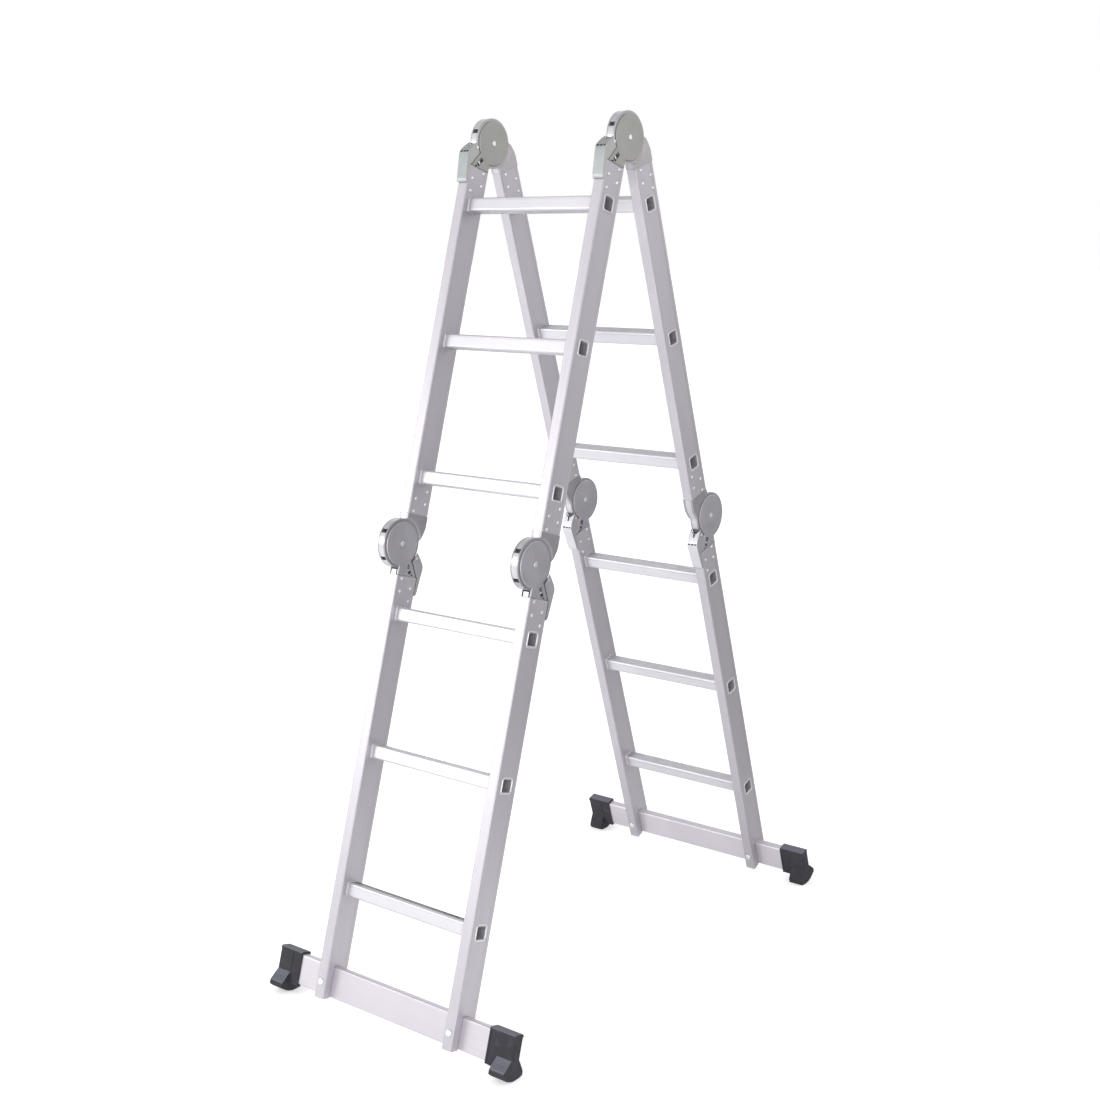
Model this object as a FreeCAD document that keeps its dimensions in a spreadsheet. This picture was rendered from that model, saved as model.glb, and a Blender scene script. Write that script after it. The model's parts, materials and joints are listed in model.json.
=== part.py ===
import FreeCAD, Part
import math
import os

import Sketcher

# Multi position ladder: two leg sections in front and two behind, joined by
# three pairs of stepped locking hinges, standing as an A frame.
#
# Whole ladder: X runs along the rungs, Y from the front legs (-Y) to the rear
# legs (+Y), Z up, origin on the floor under the top hinge axis.
#
# Every leg piece is drawn in its leg's own frame, whose origin is the middle of
# the top hinge axis: X along the rungs, Z up the leg, and Y across the leg.
# In the front leg's frame -Y is the outside of the ladder, in the rear leg's
# frame +Y is. Hinge pieces use two more lengths: "across" the stile, counted
# from the hinge axis towards the stile's far face, and "along" the stile,
# counted from the hinge axis towards the stile.

doc = FreeCAD.newDocument("multi_position_ladder")
Vector = FreeCAD.Vector

# ---------------------------------------------------------------- dimensions
# alias, value in mm or degrees, meaning
SIZES = [
    ("lean_angle", 17.24, "lean of each leg from upright, degrees"),
    ("hinge_height", 1693.7, "top hinge axis above the floor"),
    ("ladder_width", 364.0, "outside to outside of the stiles"),
    ("stile_thick", 24.0, "stile size along the rungs"),
    ("stile_depth", 59.0, "stile size across the leg"),
    ("axis_gap", 1.0, "hinge axis outside the stile face"),
    ("wall", 1.7, "stile wall"),
    ("bead_depth", 0.8, "step between edge beads and side face"),
    ("bead_far", 10.0, "bead width on the stile's edges"),
    ("bead_slope", 1.2, "width of the slope from bead to side face"),
    ("stile_corner", 3.0, "stile corner radius"),
    ("section_run", 840.0, "top hinge axis to middle hinge axis"),
    ("stile_start", 63.0, "hinge axis to stile end"),
    ("lower_stop", 1762.0, "top hinge axis to the foot of the lower stile"),
    ("rung_first", 140.0, "hinge axis to nearest rung"),
    ("rung_pitch", 280.0, "rung spacing"),
    ("rung_side", 28.0, "square rung tube"),
    ("rung_wall", 1.5, "rung wall"),
    ("rung_corner", 4.6, "rung corner radius"),
    ("rib_pitch", 2.8, "spacing of the ribs on a rung's tread"),
    ("rib_deep", 0.55, "depth of the grooves between ribs"),
    ("flare_wide", 33.0, "flared rung end, across the leg"),
    ("flare_tall", 34.4, "flared rung end, along the leg"),
    ("flare_thick", 1.7, "flared rung end, thickness"),
    ("mouth_wide", 28.6, "opening of the flared rung end"),
    ("mouth_corner", 5.6, "corner radius of that opening"),
    ("collar_side", 31.6, "swaged collar inside the stile"),
    ("collar_thick", 3.2, "swaged collar length"),
    ("fit_gap", 0.05, "clearance of a fitted piece"),
    ("cover_radius", 45.0, "hinge cover disc"),
    ("drum_radius", 50.0, "notched hinge disc"),
    ("step_radius", 54.0, "pressed step around the disc"),
    ("cover_bevel", 1.5, "bevel around a hinge cover"),
    ("cover_low", 9.4, "inside face of a hinge cover from the hinge middle"),
    ("plate_low", 6.4, "inside face of a side plate from the hinge middle"),
    ("plate_high", 9.3, "outside face of a side plate from the hinge middle"),
    ("core_half", 6.3, "half thickness of the notched plate"),
    ("pivot_radius", 4.0, "hinge rivet shank"),
    ("pivot_head", 5.2, "hinge rivet head"),
    ("head_high", 1.1, "hinge rivet head height"),
    ("tongue_end", 125.0, "hinge axis to the end of the hinge tongue"),
    ("tongue_low", 3.6, "near side of the tongue"),
    ("tongue_high", 57.4, "far side of the tongue"),
    ("lock_angle", 33.0, "lock bar direction from the stile line, degrees"),
    ("notch_width", 9.2, "notch width"),
    ("notch_depth", 10.0, "notch depth"),
    ("bar_inner", 50.6, "lock bar inner face from the hinge axis, drawn back"),
    ("bar_thick", 5.0, "lock bar, radial"),
    ("bar_wide", 8.5, "lock bar, across"),
    ("tooth_half", 6.25, "half length of the lock bar's tooth, along the axis"),
    ("wing_inner", 58.7, "inner face of the lock bar's wings from the hinge axis"),
    ("wing_thick", 3.2, "lock bar's wings, radial"),
    ("wing_low", 5.5, "near side of a wing from the hinge middle"),
    ("wing_reach", 10.2, "far end of a wing from the hinge middle"),
    ("slot_inner", 48.4, "lock slot inner end"),
    ("slot_outer", 68.0, "lock slot outer end"),
    ("lever_pin_across", 48.0, "lever pin from the hinge axis, across the stile"),
    ("lever_pin_along", 24.0, "lever pin from the hinge axis, along the stile"),
    ("lever_pin_radius", 2.2, "lever pin"),
    ("flange_low", 10.6, "lever flange inside face from the hinge middle"),
    ("flange_thick", 1.6, "lever sheet"),
    ("rivet_radius", 2.4, "stile rivet shank"),
    ("rivet_head", 3.4, "stile rivet head radius"),
    ("rivet_high", 1.7, "stile rivet head height"),
    ("rail_half", 306.0, "half length of the stabiliser tube"),
    ("rail_tall", 62.0, "stabiliser tube, along the leg"),
    ("rail_deep", 18.0, "stabiliser tube, across the leg"),
    ("rail_wall", 2.0, "stabiliser tube wall"),
    ("rail_bottom", 1760.0, "top hinge axis to the tube's lower edge"),
    ("bolt_radius", 4.0, "stabiliser bolt shank"),
    ("bolt_head", 7.0, "stabiliser bolt head radius"),
    ("bolt_high", 3.4, "stabiliser bolt head height"),
    ("foot_inner", 250.0, "inner end of the foot's sleeve"),
    ("foot_step", 275.0, "inner end of the foot's pad"),
    ("foot_outer", 310.0, "outer end of the foot"),
    ("foot_sole", 52.1, "radius of the curved sole"),
    ("foot_drop", 1781.0, "top hinge axis to the lowest point of the sole"),
]

SEAT_GAP = 0.02  # hairline left between pieces that sit face to face
THROUGH = 3000.0  # cut length that passes through the whole ladder
HINGE_THROUGH = 40  # cut length that passes through a hinge plate
SIDES = (1, -1)


class Size:
    """A length or angle: its value, and the sheet formula that gives it."""

    def __init__(self, value, formula=None):
        self.value = float(value)
        self.formula = formula

    def text(self):
        return self.formula if self.formula else "%.9g" % self.value

    def _join(self, other, sign, value):
        if not (self.formula or other.formula):
            return Size(value)
        return Size(value, "(%s %s %s)" % (self.text(), sign, other.text()))

    def __add__(self, other):
        other = size(other)
        return self._join(other, "+", self.value + other.value)

    def __sub__(self, other):
        other = size(other)
        return self._join(other, "-", self.value - other.value)

    def __mul__(self, other):
        other = size(other)
        return self._join(other, "*", self.value * other.value)

    def __rmul__(self, other):
        return size(other) * self

    def __truediv__(self, other):
        other = size(other)
        return self._join(other, "/", self.value / other.value)

    def __neg__(self):
        return size(-1) * self


def size(number):
    return number if isinstance(number, Size) else Size(number)


def bind(obj, prop, length):
    """Ties a property to the sheet when the length comes from it."""
    if length.formula:
        obj.setExpression(prop, length.formula)


def set_size(obj, prop, length):
    length = size(length)
    setattr(obj, prop, length.value)
    bind(obj, prop, length)


class Dimensions:
    """The sheet's dimensions, one Size for each alias."""


dim = Dimensions()
sheet = doc.addObject("Spreadsheet::Sheet", "dims")
for column, heading in zip("ABC", ("name", "value", "meaning")):
    sheet.set(column + "1", heading)
for line, (alias, value, note) in enumerate(SIZES, start=2):
    sheet.set("A%d" % line, alias)
    sheet.set("B%d" % line, repr(value))
    sheet.setAlias("B%d" % line, alias)
    sheet.set("C%d" % line, note)
    setattr(dim, alias, Size(value, "dims." + alias))
doc.recompute()


# ------------------------------------------------------------------- sketches
feature_count = 0


def add_feature(body, kind, prefix):
    """A new feature of the body, numbered in the order of building."""
    global feature_count
    feature_count += 1
    return body.newObject(kind, "%s_%03d" % (prefix, feature_count))


def new_body(name):
    body = doc.addObject("PartDesign::Body", name)
    body.AllowCompound = True
    return body


class Sketch:
    """A sketch on an origin plane of the body, moved along the plane's normal.
    YZ_Plane: drawn in (y, z), normal +X. XY_Plane: (x, y), normal +Z.
    XZ_Plane: (x, z), normal -Y. Geometry and constraints are gathered here and
    put into the sketch together by done()."""

    def __init__(self, body, role, offset=0):
        self.body = body
        self.obj = add_feature(body, "Sketcher::SketchObject", "sketch")
        plane = [f for f in body.Origin.OriginFeatures if f.Role == role][0]
        self.obj.AttachmentSupport = [(plane, "")]
        self.obj.MapMode = "FlatFace"
        offset = size(offset)
        self.obj.AttachmentOffset = FreeCAD.Placement(
            Vector(0, 0, offset.value), FreeCAD.Rotation()
        )
        bind(self.obj, "AttachmentOffset.Base.z", offset)
        self.shapes, self.rules, self.formulas = [], [], []

    def add(self, shape):
        self.shapes.append(shape)
        return len(self.shapes) - 1

    def add_line(self, start, end):
        return self.add(Part.LineSegment(Vector(*start, 0), Vector(*end, 0)))

    def rule(self, kind, *args):
        """A constraint whose last argument may be a Size, bound to the sheet."""
        formula = None
        if isinstance(args[-1], Size):
            formula = args[-1].formula
            args = args[:-1] + (args[-1].value,)
        self.formulas.append(formula)
        self.rules.append(Sketcher.Constraint(kind, *args))

    def locate(self, shape, point, x, y):
        for kind, place, axis in (("DistanceX", size(x), -2), ("DistanceY", size(y), -1)):
            if abs(place.value) < 1e-9:
                self.rule("PointOnObject", shape, point, axis)
            else:
                self.rule(kind, -1, 1, shape, point, place)

    def square_up(self, lines):
        """Holds four lines level and upright in turn."""
        for kind, index in (("Horizontal", 0), ("Horizontal", 2), ("Vertical", 1), ("Vertical", 3)):
            self.rule(kind, lines[index])

    def circles(self, centres, radius):
        radius = size(radius)
        for x, y in centres:
            x, y = size(x), size(y)
            centre = Vector(x.value, y.value, 0)
            shape = self.add(Part.Circle(centre, Vector(0, 0, 1), radius.value))
            self.rule("Radius", shape, radius)
            self.locate(shape, 3, x, y)
        return self

    def closed_lines(self, corners):
        """Lines through these plain (x, y) corners, joined end to end."""
        following = corners[1:] + corners[:1]
        lines = [self.add_line(start, end) for start, end in zip(corners, following)]
        for i, shape in enumerate(lines):
            self.rule("Coincident", shape, 2, lines[(i + 1) % len(lines)], 1)
        return lines

    def polygon(self, points):
        points = [(size(x), size(y)) for x, y in points]
        lines = self.closed_lines([(x.value, y.value) for x, y in points])
        for shape, (x, y) in zip(lines, points):
            self.locate(shape, 1, x, y)
        return self

    def rectangle(self, x, y, width, height):
        """A rectangle centred at x, y."""
        x, y, width, height = size(x), size(y), size(width), size(height)
        x0, x1 = x.value - width.value / 2, x.value + width.value / 2
        y0, y1 = y.value - height.value / 2, y.value + height.value / 2
        lines = self.closed_lines([(x0, y0), (x1, y0), (x1, y1), (x0, y1)])
        self.square_up(lines)
        self.rule("DistanceX", lines[0], 1, lines[0], 2, width)
        self.rule("DistanceY", lines[1], 1, lines[1], 2, height)
        self.locate(lines[0], 1, x - width / 2, y - height / 2)
        return self

    def rounded(self, x, y, width, height, radius):
        """A rectangle with round corners centred at x, y."""
        x, y, width, height = size(x), size(y), size(width), size(height)
        radius = size(radius)
        r = radius.value
        x0, x1 = x.value - width.value / 2, x.value + width.value / 2
        y0, y1 = y.value - height.value / 2, y.value + height.value / 2
        lines = [
            self.add_line((x0 + r, y0), (x1 - r, y0)),
            self.add_line((x1, y0 + r), (x1, y1 - r)),
            self.add_line((x1 - r, y1), (x0 + r, y1)),
            self.add_line((x0, y1 - r), (x0, y0 + r)),
        ]
        arcs = []
        for centre, start in (
            ((x1 - r, y0 + r), -90),
            ((x1 - r, y1 - r), 0),
            ((x0 + r, y1 - r), 90),
            ((x0 + r, y0 + r), 180),
        ):
            round_line = Part.Circle(Vector(*centre, 0), Vector(0, 0, 1), r)
            start, end = math.radians(start), math.radians(start + 90)
            arcs.append(self.add(Part.ArcOfCircle(round_line, start, end)))
        for i in range(4):
            self.rule("Tangent", lines[i], 2, arcs[i], 1)
            self.rule("Tangent", arcs[i], 2, lines[(i + 1) % 4], 1)
        self.square_up(lines)
        for i in (1, 2, 3):
            self.rule("Equal", arcs[0], arcs[i])
        self.rule("Radius", arcs[0], radius)
        self.rule("DistanceX", lines[3], 1, lines[1], 1, width)
        self.rule("DistanceY", lines[0], 1, lines[2], 1, height)
        self.locate(arcs[3], 3, x - width / 2 + radius, y - height / 2 + radius)
        return self

    def done(self):
        self.obj.addGeometry(self.shapes, False)
        self.obj.addConstraint(self.rules)
        for i, formula in enumerate(self.formulas):
            if formula:
                self.obj.setExpression("Constraints[%d]" % i, formula)
        return self.obj


# ------------------------------------------------------------------- features
def extrude(feature, sketch, length, back, both, taper):
    feature.Profile = sketch.done()
    set_size(feature, "Length", length)
    if both:
        feature.SideType = "Symmetric"
    feature.Reversed = back
    if taper is not None:
        feature.TaperAngle = taper
    doc.recompute([feature])


def pad(sketch, length, back=False, both=False, taper=None):
    """A pad along the sketch's normal, or against it when back is set; both
    spreads the length evenly to the two sides."""
    feature = add_feature(sketch.body, "PartDesign::Pad", "pad")
    extrude(feature, sketch, length, back, both, taper)
    assert feature.Shape.Volume > 0, (sketch.body.Label, "a pad added nothing")


def pocket(sketch, length=None, back=False, both=False, taper=None):
    """A pocket against the sketch's normal, or along it when back is set;
    through everything both ways when no length is given."""
    body = sketch.body
    volume_before = body.Tip.Shape.Volume
    feature = add_feature(body, "PartDesign::Pocket", "pocket")
    if length is None:
        length, both = THROUGH, True
    extrude(feature, sketch, length, back, both, taper)
    assert feature.Shape.Volume < volume_before - 0.01, (body.Label, "a pocket cut nothing")


def dress(body, kind, radius, axis, level):
    """A Fillet or Chamfer on the edges of the body's tip whose ends and middle
    all lie at this level of the axis."""
    base = body.Tip
    names = []
    for i, edge in enumerate(base.Shape.Edges, start=1):
        first, last = edge.ParameterRange
        points = [edge.valueAt(t) for t in (first, (first + last) / 2, last)]
        if all(abs(getattr(point, axis) - level) < 1e-4 for point in points):
            names.append("Edge%d" % i)
    assert names, (body.Label, "no edges to dress")
    feature = add_feature(body, "PartDesign::" + kind, kind.lower())
    feature.Base = (base, names)
    set_size(feature, "Radius" if kind == "Fillet" else "Size", radius)
    doc.recompute([feature])
    assert feature.Shape.isValid() and feature.Shape.Volume > 0, (body.Label, kind)


def headed_pins(
    body, role, middle, centres, shank_radius, head_radius, seat, head_high, overlap, rounding=None
):
    """Shanks with a head at each end. The heads sit this far from the middle,
    and overlap is the shank's extra length, shared by its two heads."""
    shanks = Sketch(body, role, middle).circles(centres, shank_radius)
    pad(shanks, seat * 2 + overlap, both=True)
    for side in SIDES:
        heads = Sketch(body, role, middle + seat * side).circles(centres, head_radius)
        pad(heads, head_high, back=side < 0)
    if rounding is None:
        return
    # the XZ plane's normal is -Y
    axis, direction = ("y", -1) if role == "XZ_Plane" else ("x", 1)
    for side in SIDES:
        top = direction * (middle + side * (seat + head_high)).value
        dress(body, "Fillet", rounding, axis, top)


# ------------------------------------------------------- placing and mirroring
ACROSS_X, ACROSS_Y = Vector(1, 0, 0), Vector(0, 1, 0)
nodes = {}


def leg_placement(leg):
    """From a leg's frame to the ladder's. leg is -1 for front, +1 for rear."""
    return FreeCAD.Placement(
        Vector(0, 0, dim.hinge_height.value),
        FreeCAD.Rotation(Vector(1, 0, 0), leg * dim.lean_angle.value),
    )


def stand(body, leg=-1):
    body.Placement = leg_placement(leg)
    body.setExpression("Placement.Base.z", "dims.hinge_height")
    body.setExpression("Placement.Rotation.Angle", "dims.lean_angle * %d deg" % leg)


def mirror(source, normal, name, base=None):
    copy = doc.addObject("Part::Mirroring", name)
    copy.Source = source
    copy.Normal = normal
    if base is not None:
        copy.Base = Vector(base.value, 0, 0)
        bind(copy, "Base.x", base)
    return copy


def group(name, pieces):
    compound = doc.addObject("Part::Compound", name)
    compound.Links = pieces
    return compound


def pair(right, name):
    """A right piece and its mirror image as one group."""
    return group(name, [right, mirror(right, ACROSS_X, right.Name + "_left")])


def node(name, obj):
    """Labels an object as a piece to be written under this name."""
    obj.Label = name
    nodes[name] = obj
    return obj


def mirrored_node(name, source, normal):
    return node(name, mirror(source, normal, name))


def four(front_right, kind):
    """The same piece on both sides of both legs."""
    node("front_right_" + kind, front_right)
    front_left = mirrored_node("front_left_" + kind, front_right, ACROSS_X)
    mirrored_node("rear_right_" + kind, front_right, ACROSS_Y)
    mirrored_node("rear_left_" + kind, front_left, ACROSS_Y)


def two(front, kind):
    """The same piece on both legs."""
    node("front_" + kind, front)
    mirrored_node("rear_" + kind, front, ACROSS_Y)


# -------------------------------------------------------------- shared places
x_mid = dim.ladder_width / 2 - dim.stile_thick / 2  # middle of the right stiles
y_mid = -(dim.axis_gap + dim.stile_depth / 2)  # middle of the front leg's stiles
axis_span = dim.stile_depth + dim.axis_gap * 2  # top to middle hinge axis, across
rail_mid = dim.rail_bottom - dim.rail_tall / 2
rivet_hole = dim.rivet_radius + dim.fit_gap
bolt_hole = dim.bolt_radius + dim.fit_gap

# Rungs of each section, down from the top hinge axis
upper_rungs = [dim.rung_first + dim.rung_pitch * k for k in range(3)]
lower_rungs = [dim.section_run + dim.rung_first + dim.rung_pitch * k for k in range(3)]

# Rivets of one stile end as (across, along) from its hinge axis
RIVETS = [(16.0, 69.0), (16.0, 95.0), (46.4, 86.5), (46.4, 112.5)]

# The same rivets as (y, z) in the front leg's frame
upper_rivets = []
for across, along in RIVETS:
    upper_rivets.append((-across, -along))
    upper_rivets.append((-axis_span + across, -dim.section_run + along))
lower_rivets = [
    (-axis_span + across, -dim.section_run - along) for across, along in RIVETS
]


def stile_sketch(body, outward=0):
    """A YZ sketch this far in +X from the right stile's middle."""
    return Sketch(body, "YZ_Plane", x_mid + outward)


# ---------------------------------------------------------------------- stiles
STILE_BORE_CORNER = 1.0
SLOT_OVERRUN = 4  # length of the foot slot's cut beyond the stile end


def stile(name, start, stop, rungs, rivets):
    """An extruded tube with flat narrow faces and a shallow recess between edge
    beads on each side face."""
    body = new_body(name)
    outline = Sketch(body, "XY_Plane", -stop)
    outline.rounded(x_mid, y_mid, dim.stile_thick, dim.stile_depth, dim.stile_corner)
    pad(outline, stop - start)

    recess = Sketch(body, "XY_Plane", -stop)
    floor_half = dim.stile_depth / 2 - dim.bead_far
    edge_half = floor_half + dim.bead_slope
    for side in SIDES:
        face = x_mid + side * dim.stile_thick / 2
        bottom = face - side * dim.bead_depth
        recess.polygon(
            [
                (face + side, y_mid - edge_half),
                (face, y_mid - edge_half),
                (bottom, y_mid - floor_half),
                (bottom, y_mid + floor_half),
                (face, y_mid + edge_half),
                (face + side, y_mid + edge_half),
            ]
        )
    pocket(recess, stop - start, back=True)

    bore = Sketch(body, "XY_Plane", -stop)
    bore.rounded(
        x_mid,
        y_mid,
        dim.stile_thick - (dim.wall + dim.bead_depth) * 2,
        dim.stile_depth - dim.wall * 2,
        STILE_BORE_CORNER,
    )
    pocket(bore, stop - start, back=True)

    rung_holes = stile_sketch(body)
    hole_side = dim.rung_side + dim.fit_gap * 2
    for rung in rungs:
        rung_holes.rounded(y_mid, -rung, hole_side, hole_side, dim.rung_corner)
    pocket(rung_holes)
    pocket(stile_sketch(body).circles(rivets, rivet_hole))
    return body


def upper_stile():
    body = stile(
        "front_right_upper_stile",
        dim.stile_start,
        dim.section_run - dim.stile_start,
        upper_rungs,
        upper_rivets,
    )
    stand(body)
    return body


def lower_stile():
    body = stile(
        "front_right_lower_stile",
        dim.section_run + dim.stile_start,
        dim.lower_stop,
        lower_rungs,
        lower_rivets,
    )
    # open slot at the foot that straddles the stabiliser tube
    slot_top = dim.rail_bottom - dim.rail_tall - dim.fit_gap
    slot_stop = dim.lower_stop + SLOT_OVERRUN
    slot = stile_sketch(body)
    slot.rectangle(
        y_mid,
        -(slot_top + slot_stop) / 2,
        dim.rail_deep + dim.fit_gap * 2,
        slot_stop - slot_top,
    )
    pocket(slot)
    # bolt hole through both prongs
    pocket(Sketch(body, "XZ_Plane").circles([(x_mid, -rail_mid)], bolt_hole))
    stand(body)
    return body


upper = upper_stile()
lower = lower_stile()
four(upper, "upper_stile")
four(lower, "lower_stile")


# ----------------------------------------------------------------------- rungs
FLARE_TAPER, COLLAR_TAPER, MOUTH_TAPER = -38.0, -25.0, -42.0  # degrees
FLARE_CORNER_EXTRA = 2  # corner radii beyond the tube's own
COLLAR_CORNER_EXTRA = 1
BORE_CORNER_EXTRA = 0.4  # bore's corner radius beyond the tube's less its wall
TREAD_END_GAP = 1.0  # plain length left by the grooves, both ends together
FINE_GROOVE_WIDE = 0.7  # across the leg, half of it in the rung's face
FINE_GROOVE_TALL = 0.9
FINE_GROOVE_DROP = 1.2  # groove's middle below the end of the corner round


def rungs(name, places):
    """Square tubes through both stiles, swaged inside each stile and flared over
    each stile's outside face."""
    body = new_body(name)
    half_width = dim.ladder_width / 2
    outside = half_width - dim.bead_depth + SEAT_GAP
    inside = half_width - dim.stile_thick + dim.bead_depth - SEAT_GAP
    mouth = outside + dim.flare_thick

    def squares(offset, wide, tall, corner):
        sketch = Sketch(body, "YZ_Plane", offset)
        for rung in places:
            sketch.rounded(y_mid, -rung, wide, tall, corner)
        return sketch

    corner = dim.rung_corner
    pad(squares(0, dim.rung_side, dim.rung_side, corner), mouth * 2, both=True)
    for side in SIDES:
        flare_corner = corner + FLARE_CORNER_EXTRA
        flares = squares(outside * side, dim.flare_wide, dim.flare_tall, flare_corner)
        pad(flares, dim.flare_thick, back=side < 0, taper=FLARE_TAPER)
        collar_corner = corner + COLLAR_CORNER_EXTRA
        collars = squares(inside * side, dim.collar_side, dim.collar_side, collar_corner)
        pad(collars, dim.collar_thick, back=side > 0, taper=COLLAR_TAPER)
    bore_side = dim.rung_side - dim.rung_wall * 2
    pocket(squares(0, bore_side, bore_side, corner - dim.rung_wall + BORE_CORNER_EXTRA))
    # the mouth at each end, opened out like the flare
    for side in SIDES:
        mouths = squares(mouth * side, dim.mouth_wide, dim.mouth_wide, dim.mouth_corner)
        pocket(mouths, dim.flare_thick, back=side < 0, taper=MOUTH_TAPER)

    # grooves between the ribs of the treads above and below
    groove_run = inside * 2 - dim.collar_thick * 2 - TREAD_END_GAP
    for rung in places:
        for tread in SIDES:
            grooves = Sketch(body, "YZ_Plane")
            for k in range(-3, 4):
                grooves.rectangle(
                    y_mid + dim.rib_pitch * k,
                    -rung + tread * dim.rung_side / 2,
                    dim.rib_pitch / 2,
                    dim.rib_deep * 2,
                )
            pocket(grooves, groove_run, both=True)
    # one fine groove near the upper tread on the outward and inward faces
    fine_grooves = Sketch(body, "YZ_Plane")
    for rung in places:
        for face in SIDES:
            fine_grooves.rectangle(
                y_mid + face * dim.rung_side / 2,
                -rung + (dim.rung_side / 2 - corner - FINE_GROOVE_DROP),
                FINE_GROOVE_WIDE,
                FINE_GROOVE_TALL,
            )
    pocket(fine_grooves, groove_run, both=True)
    stand(body)
    return body


two(rungs("front_upper_rungs", upper_rungs), "upper_rungs")
two(rungs("front_lower_rungs", lower_rungs), "lower_rungs")


# --------------------------------------------------------------- stile rivets
HEAD_OVERLAP = 0.4  # shank length inside the heads, both ends together
RIVET_ROUNDING = 1.5


def rivets(name, places):
    """Rivets with domed heads on both side faces of a stile."""
    body = new_body(name)
    headed_pins(
        body,
        "YZ_Plane",
        x_mid,
        places,
        shank_radius=dim.rivet_radius,
        head_radius=dim.rivet_head,
        seat=dim.stile_thick / 2 - dim.bead_depth + SEAT_GAP,
        head_high=dim.rivet_high,
        overlap=HEAD_OVERLAP,
        rounding=RIVET_ROUNDING,
    )
    stand(body)
    return body


for section, places in (("upper", upper_rivets), ("lower", lower_rivets)):
    right_rivets = rivets(section + "_rivets_right", places)
    kind = section + "_stile_rivets"
    two(pair(right_rivets, "front_" + kind), kind)


# ------------------------------------------------------------ stabiliser tubes
RAIL_CORNER = 3.5
RAIL_BORE_CORNER = 2.0
BOLT_ROUNDING = 2.8

bolt_places = [(x_mid, -rail_mid), (-x_mid, -rail_mid)]  # (x, z)


def stabiliser_bar():
    body = new_body("front_stabiliser_bar")
    outline = Sketch(body, "YZ_Plane")
    outline.rounded(y_mid, -rail_mid, dim.rail_deep, dim.rail_tall, RAIL_CORNER)
    pad(outline, dim.rail_half * 2, both=True)
    bore = Sketch(body, "YZ_Plane")
    bore_deep = dim.rail_deep - dim.rail_wall * 2
    bore_tall = dim.rail_tall - dim.rail_wall * 2
    bore.rounded(y_mid, -rail_mid, bore_deep, bore_tall, RAIL_BORE_CORNER)
    pocket(bore)
    pocket(Sketch(body, "XZ_Plane").circles(bolt_places, bolt_hole))
    stand(body)
    return body


def stabiliser_bolts():
    """Bolts with domed heads on both narrow faces of the stiles."""
    body = new_body("stabiliser_bolts_right")
    headed_pins(
        body,
        "XZ_Plane",
        -y_mid,
        bolt_places,
        shank_radius=dim.bolt_radius,
        head_radius=dim.bolt_head,
        seat=dim.stile_depth / 2 + SEAT_GAP,
        head_high=dim.bolt_high,
        overlap=HEAD_OVERLAP,
        rounding=BOLT_ROUNDING,
    )
    stand(body)
    return body


two(stabiliser_bar(), "stabiliser_bar")
two(stabiliser_bolts(), "stabiliser_bolts")


# ------------------------------------------------------------------------ feet
CAP_ABOVE = 4  # cap beyond the tube's upper and lower edges
CAP_BELOW = 5
CAP_EXTRA = 5.5  # cap's size across the leg beyond the tube's
CAP_CORNER = 3.0
SKIRT_FLARE = 5.5  # shoulder of the pad beyond the cap's side
SOLE_STEPS = 12
# The slanted cut's depths below the tube at the inner end (upper and lower)
# and where it runs out at the pad
SLANT_UPPER, SLANT_LOWER, SLANT_OUT = 2.2, 8, 5.6
# Ends of the sole's level cut in y, and how far it reaches below the floor line
FACET_BACK, FACET_FRONT = 5.0, -66.0
FACET_BACK_DROP, FACET_FRONT_DROP = 60, 30


def pad_outline():
    """(y, z) of the foot's flared pad: straight skirts down to a curved sole."""
    middle, lowest, radius = y_mid.value, dim.foot_drop.value, dim.foot_sole.value
    cap_half = (dim.rail_deep.value + CAP_EXTRA) / 2
    # half width, height above the sole's lowest point
    skirt = [(cap_half, 39), (cap_half + SKIRT_FLARE, 33), (28.5, 18)]
    inward = [(middle + half, -(lowest - height)) for half, height in skirt]
    outward = [(middle - half, -(lowest - height)) for half, height in skirt]
    sole = []
    for k in range(SOLE_STEPS + 1):
        y = -(dim.axis_gap.value + k * dim.stile_depth.value / SOLE_STEPS)
        reach = math.sqrt(radius**2 - (y - middle) ** 2)
        sole.append((y, -(lowest - radius + reach)))
    return inward + sole + outward[::-1]


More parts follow.
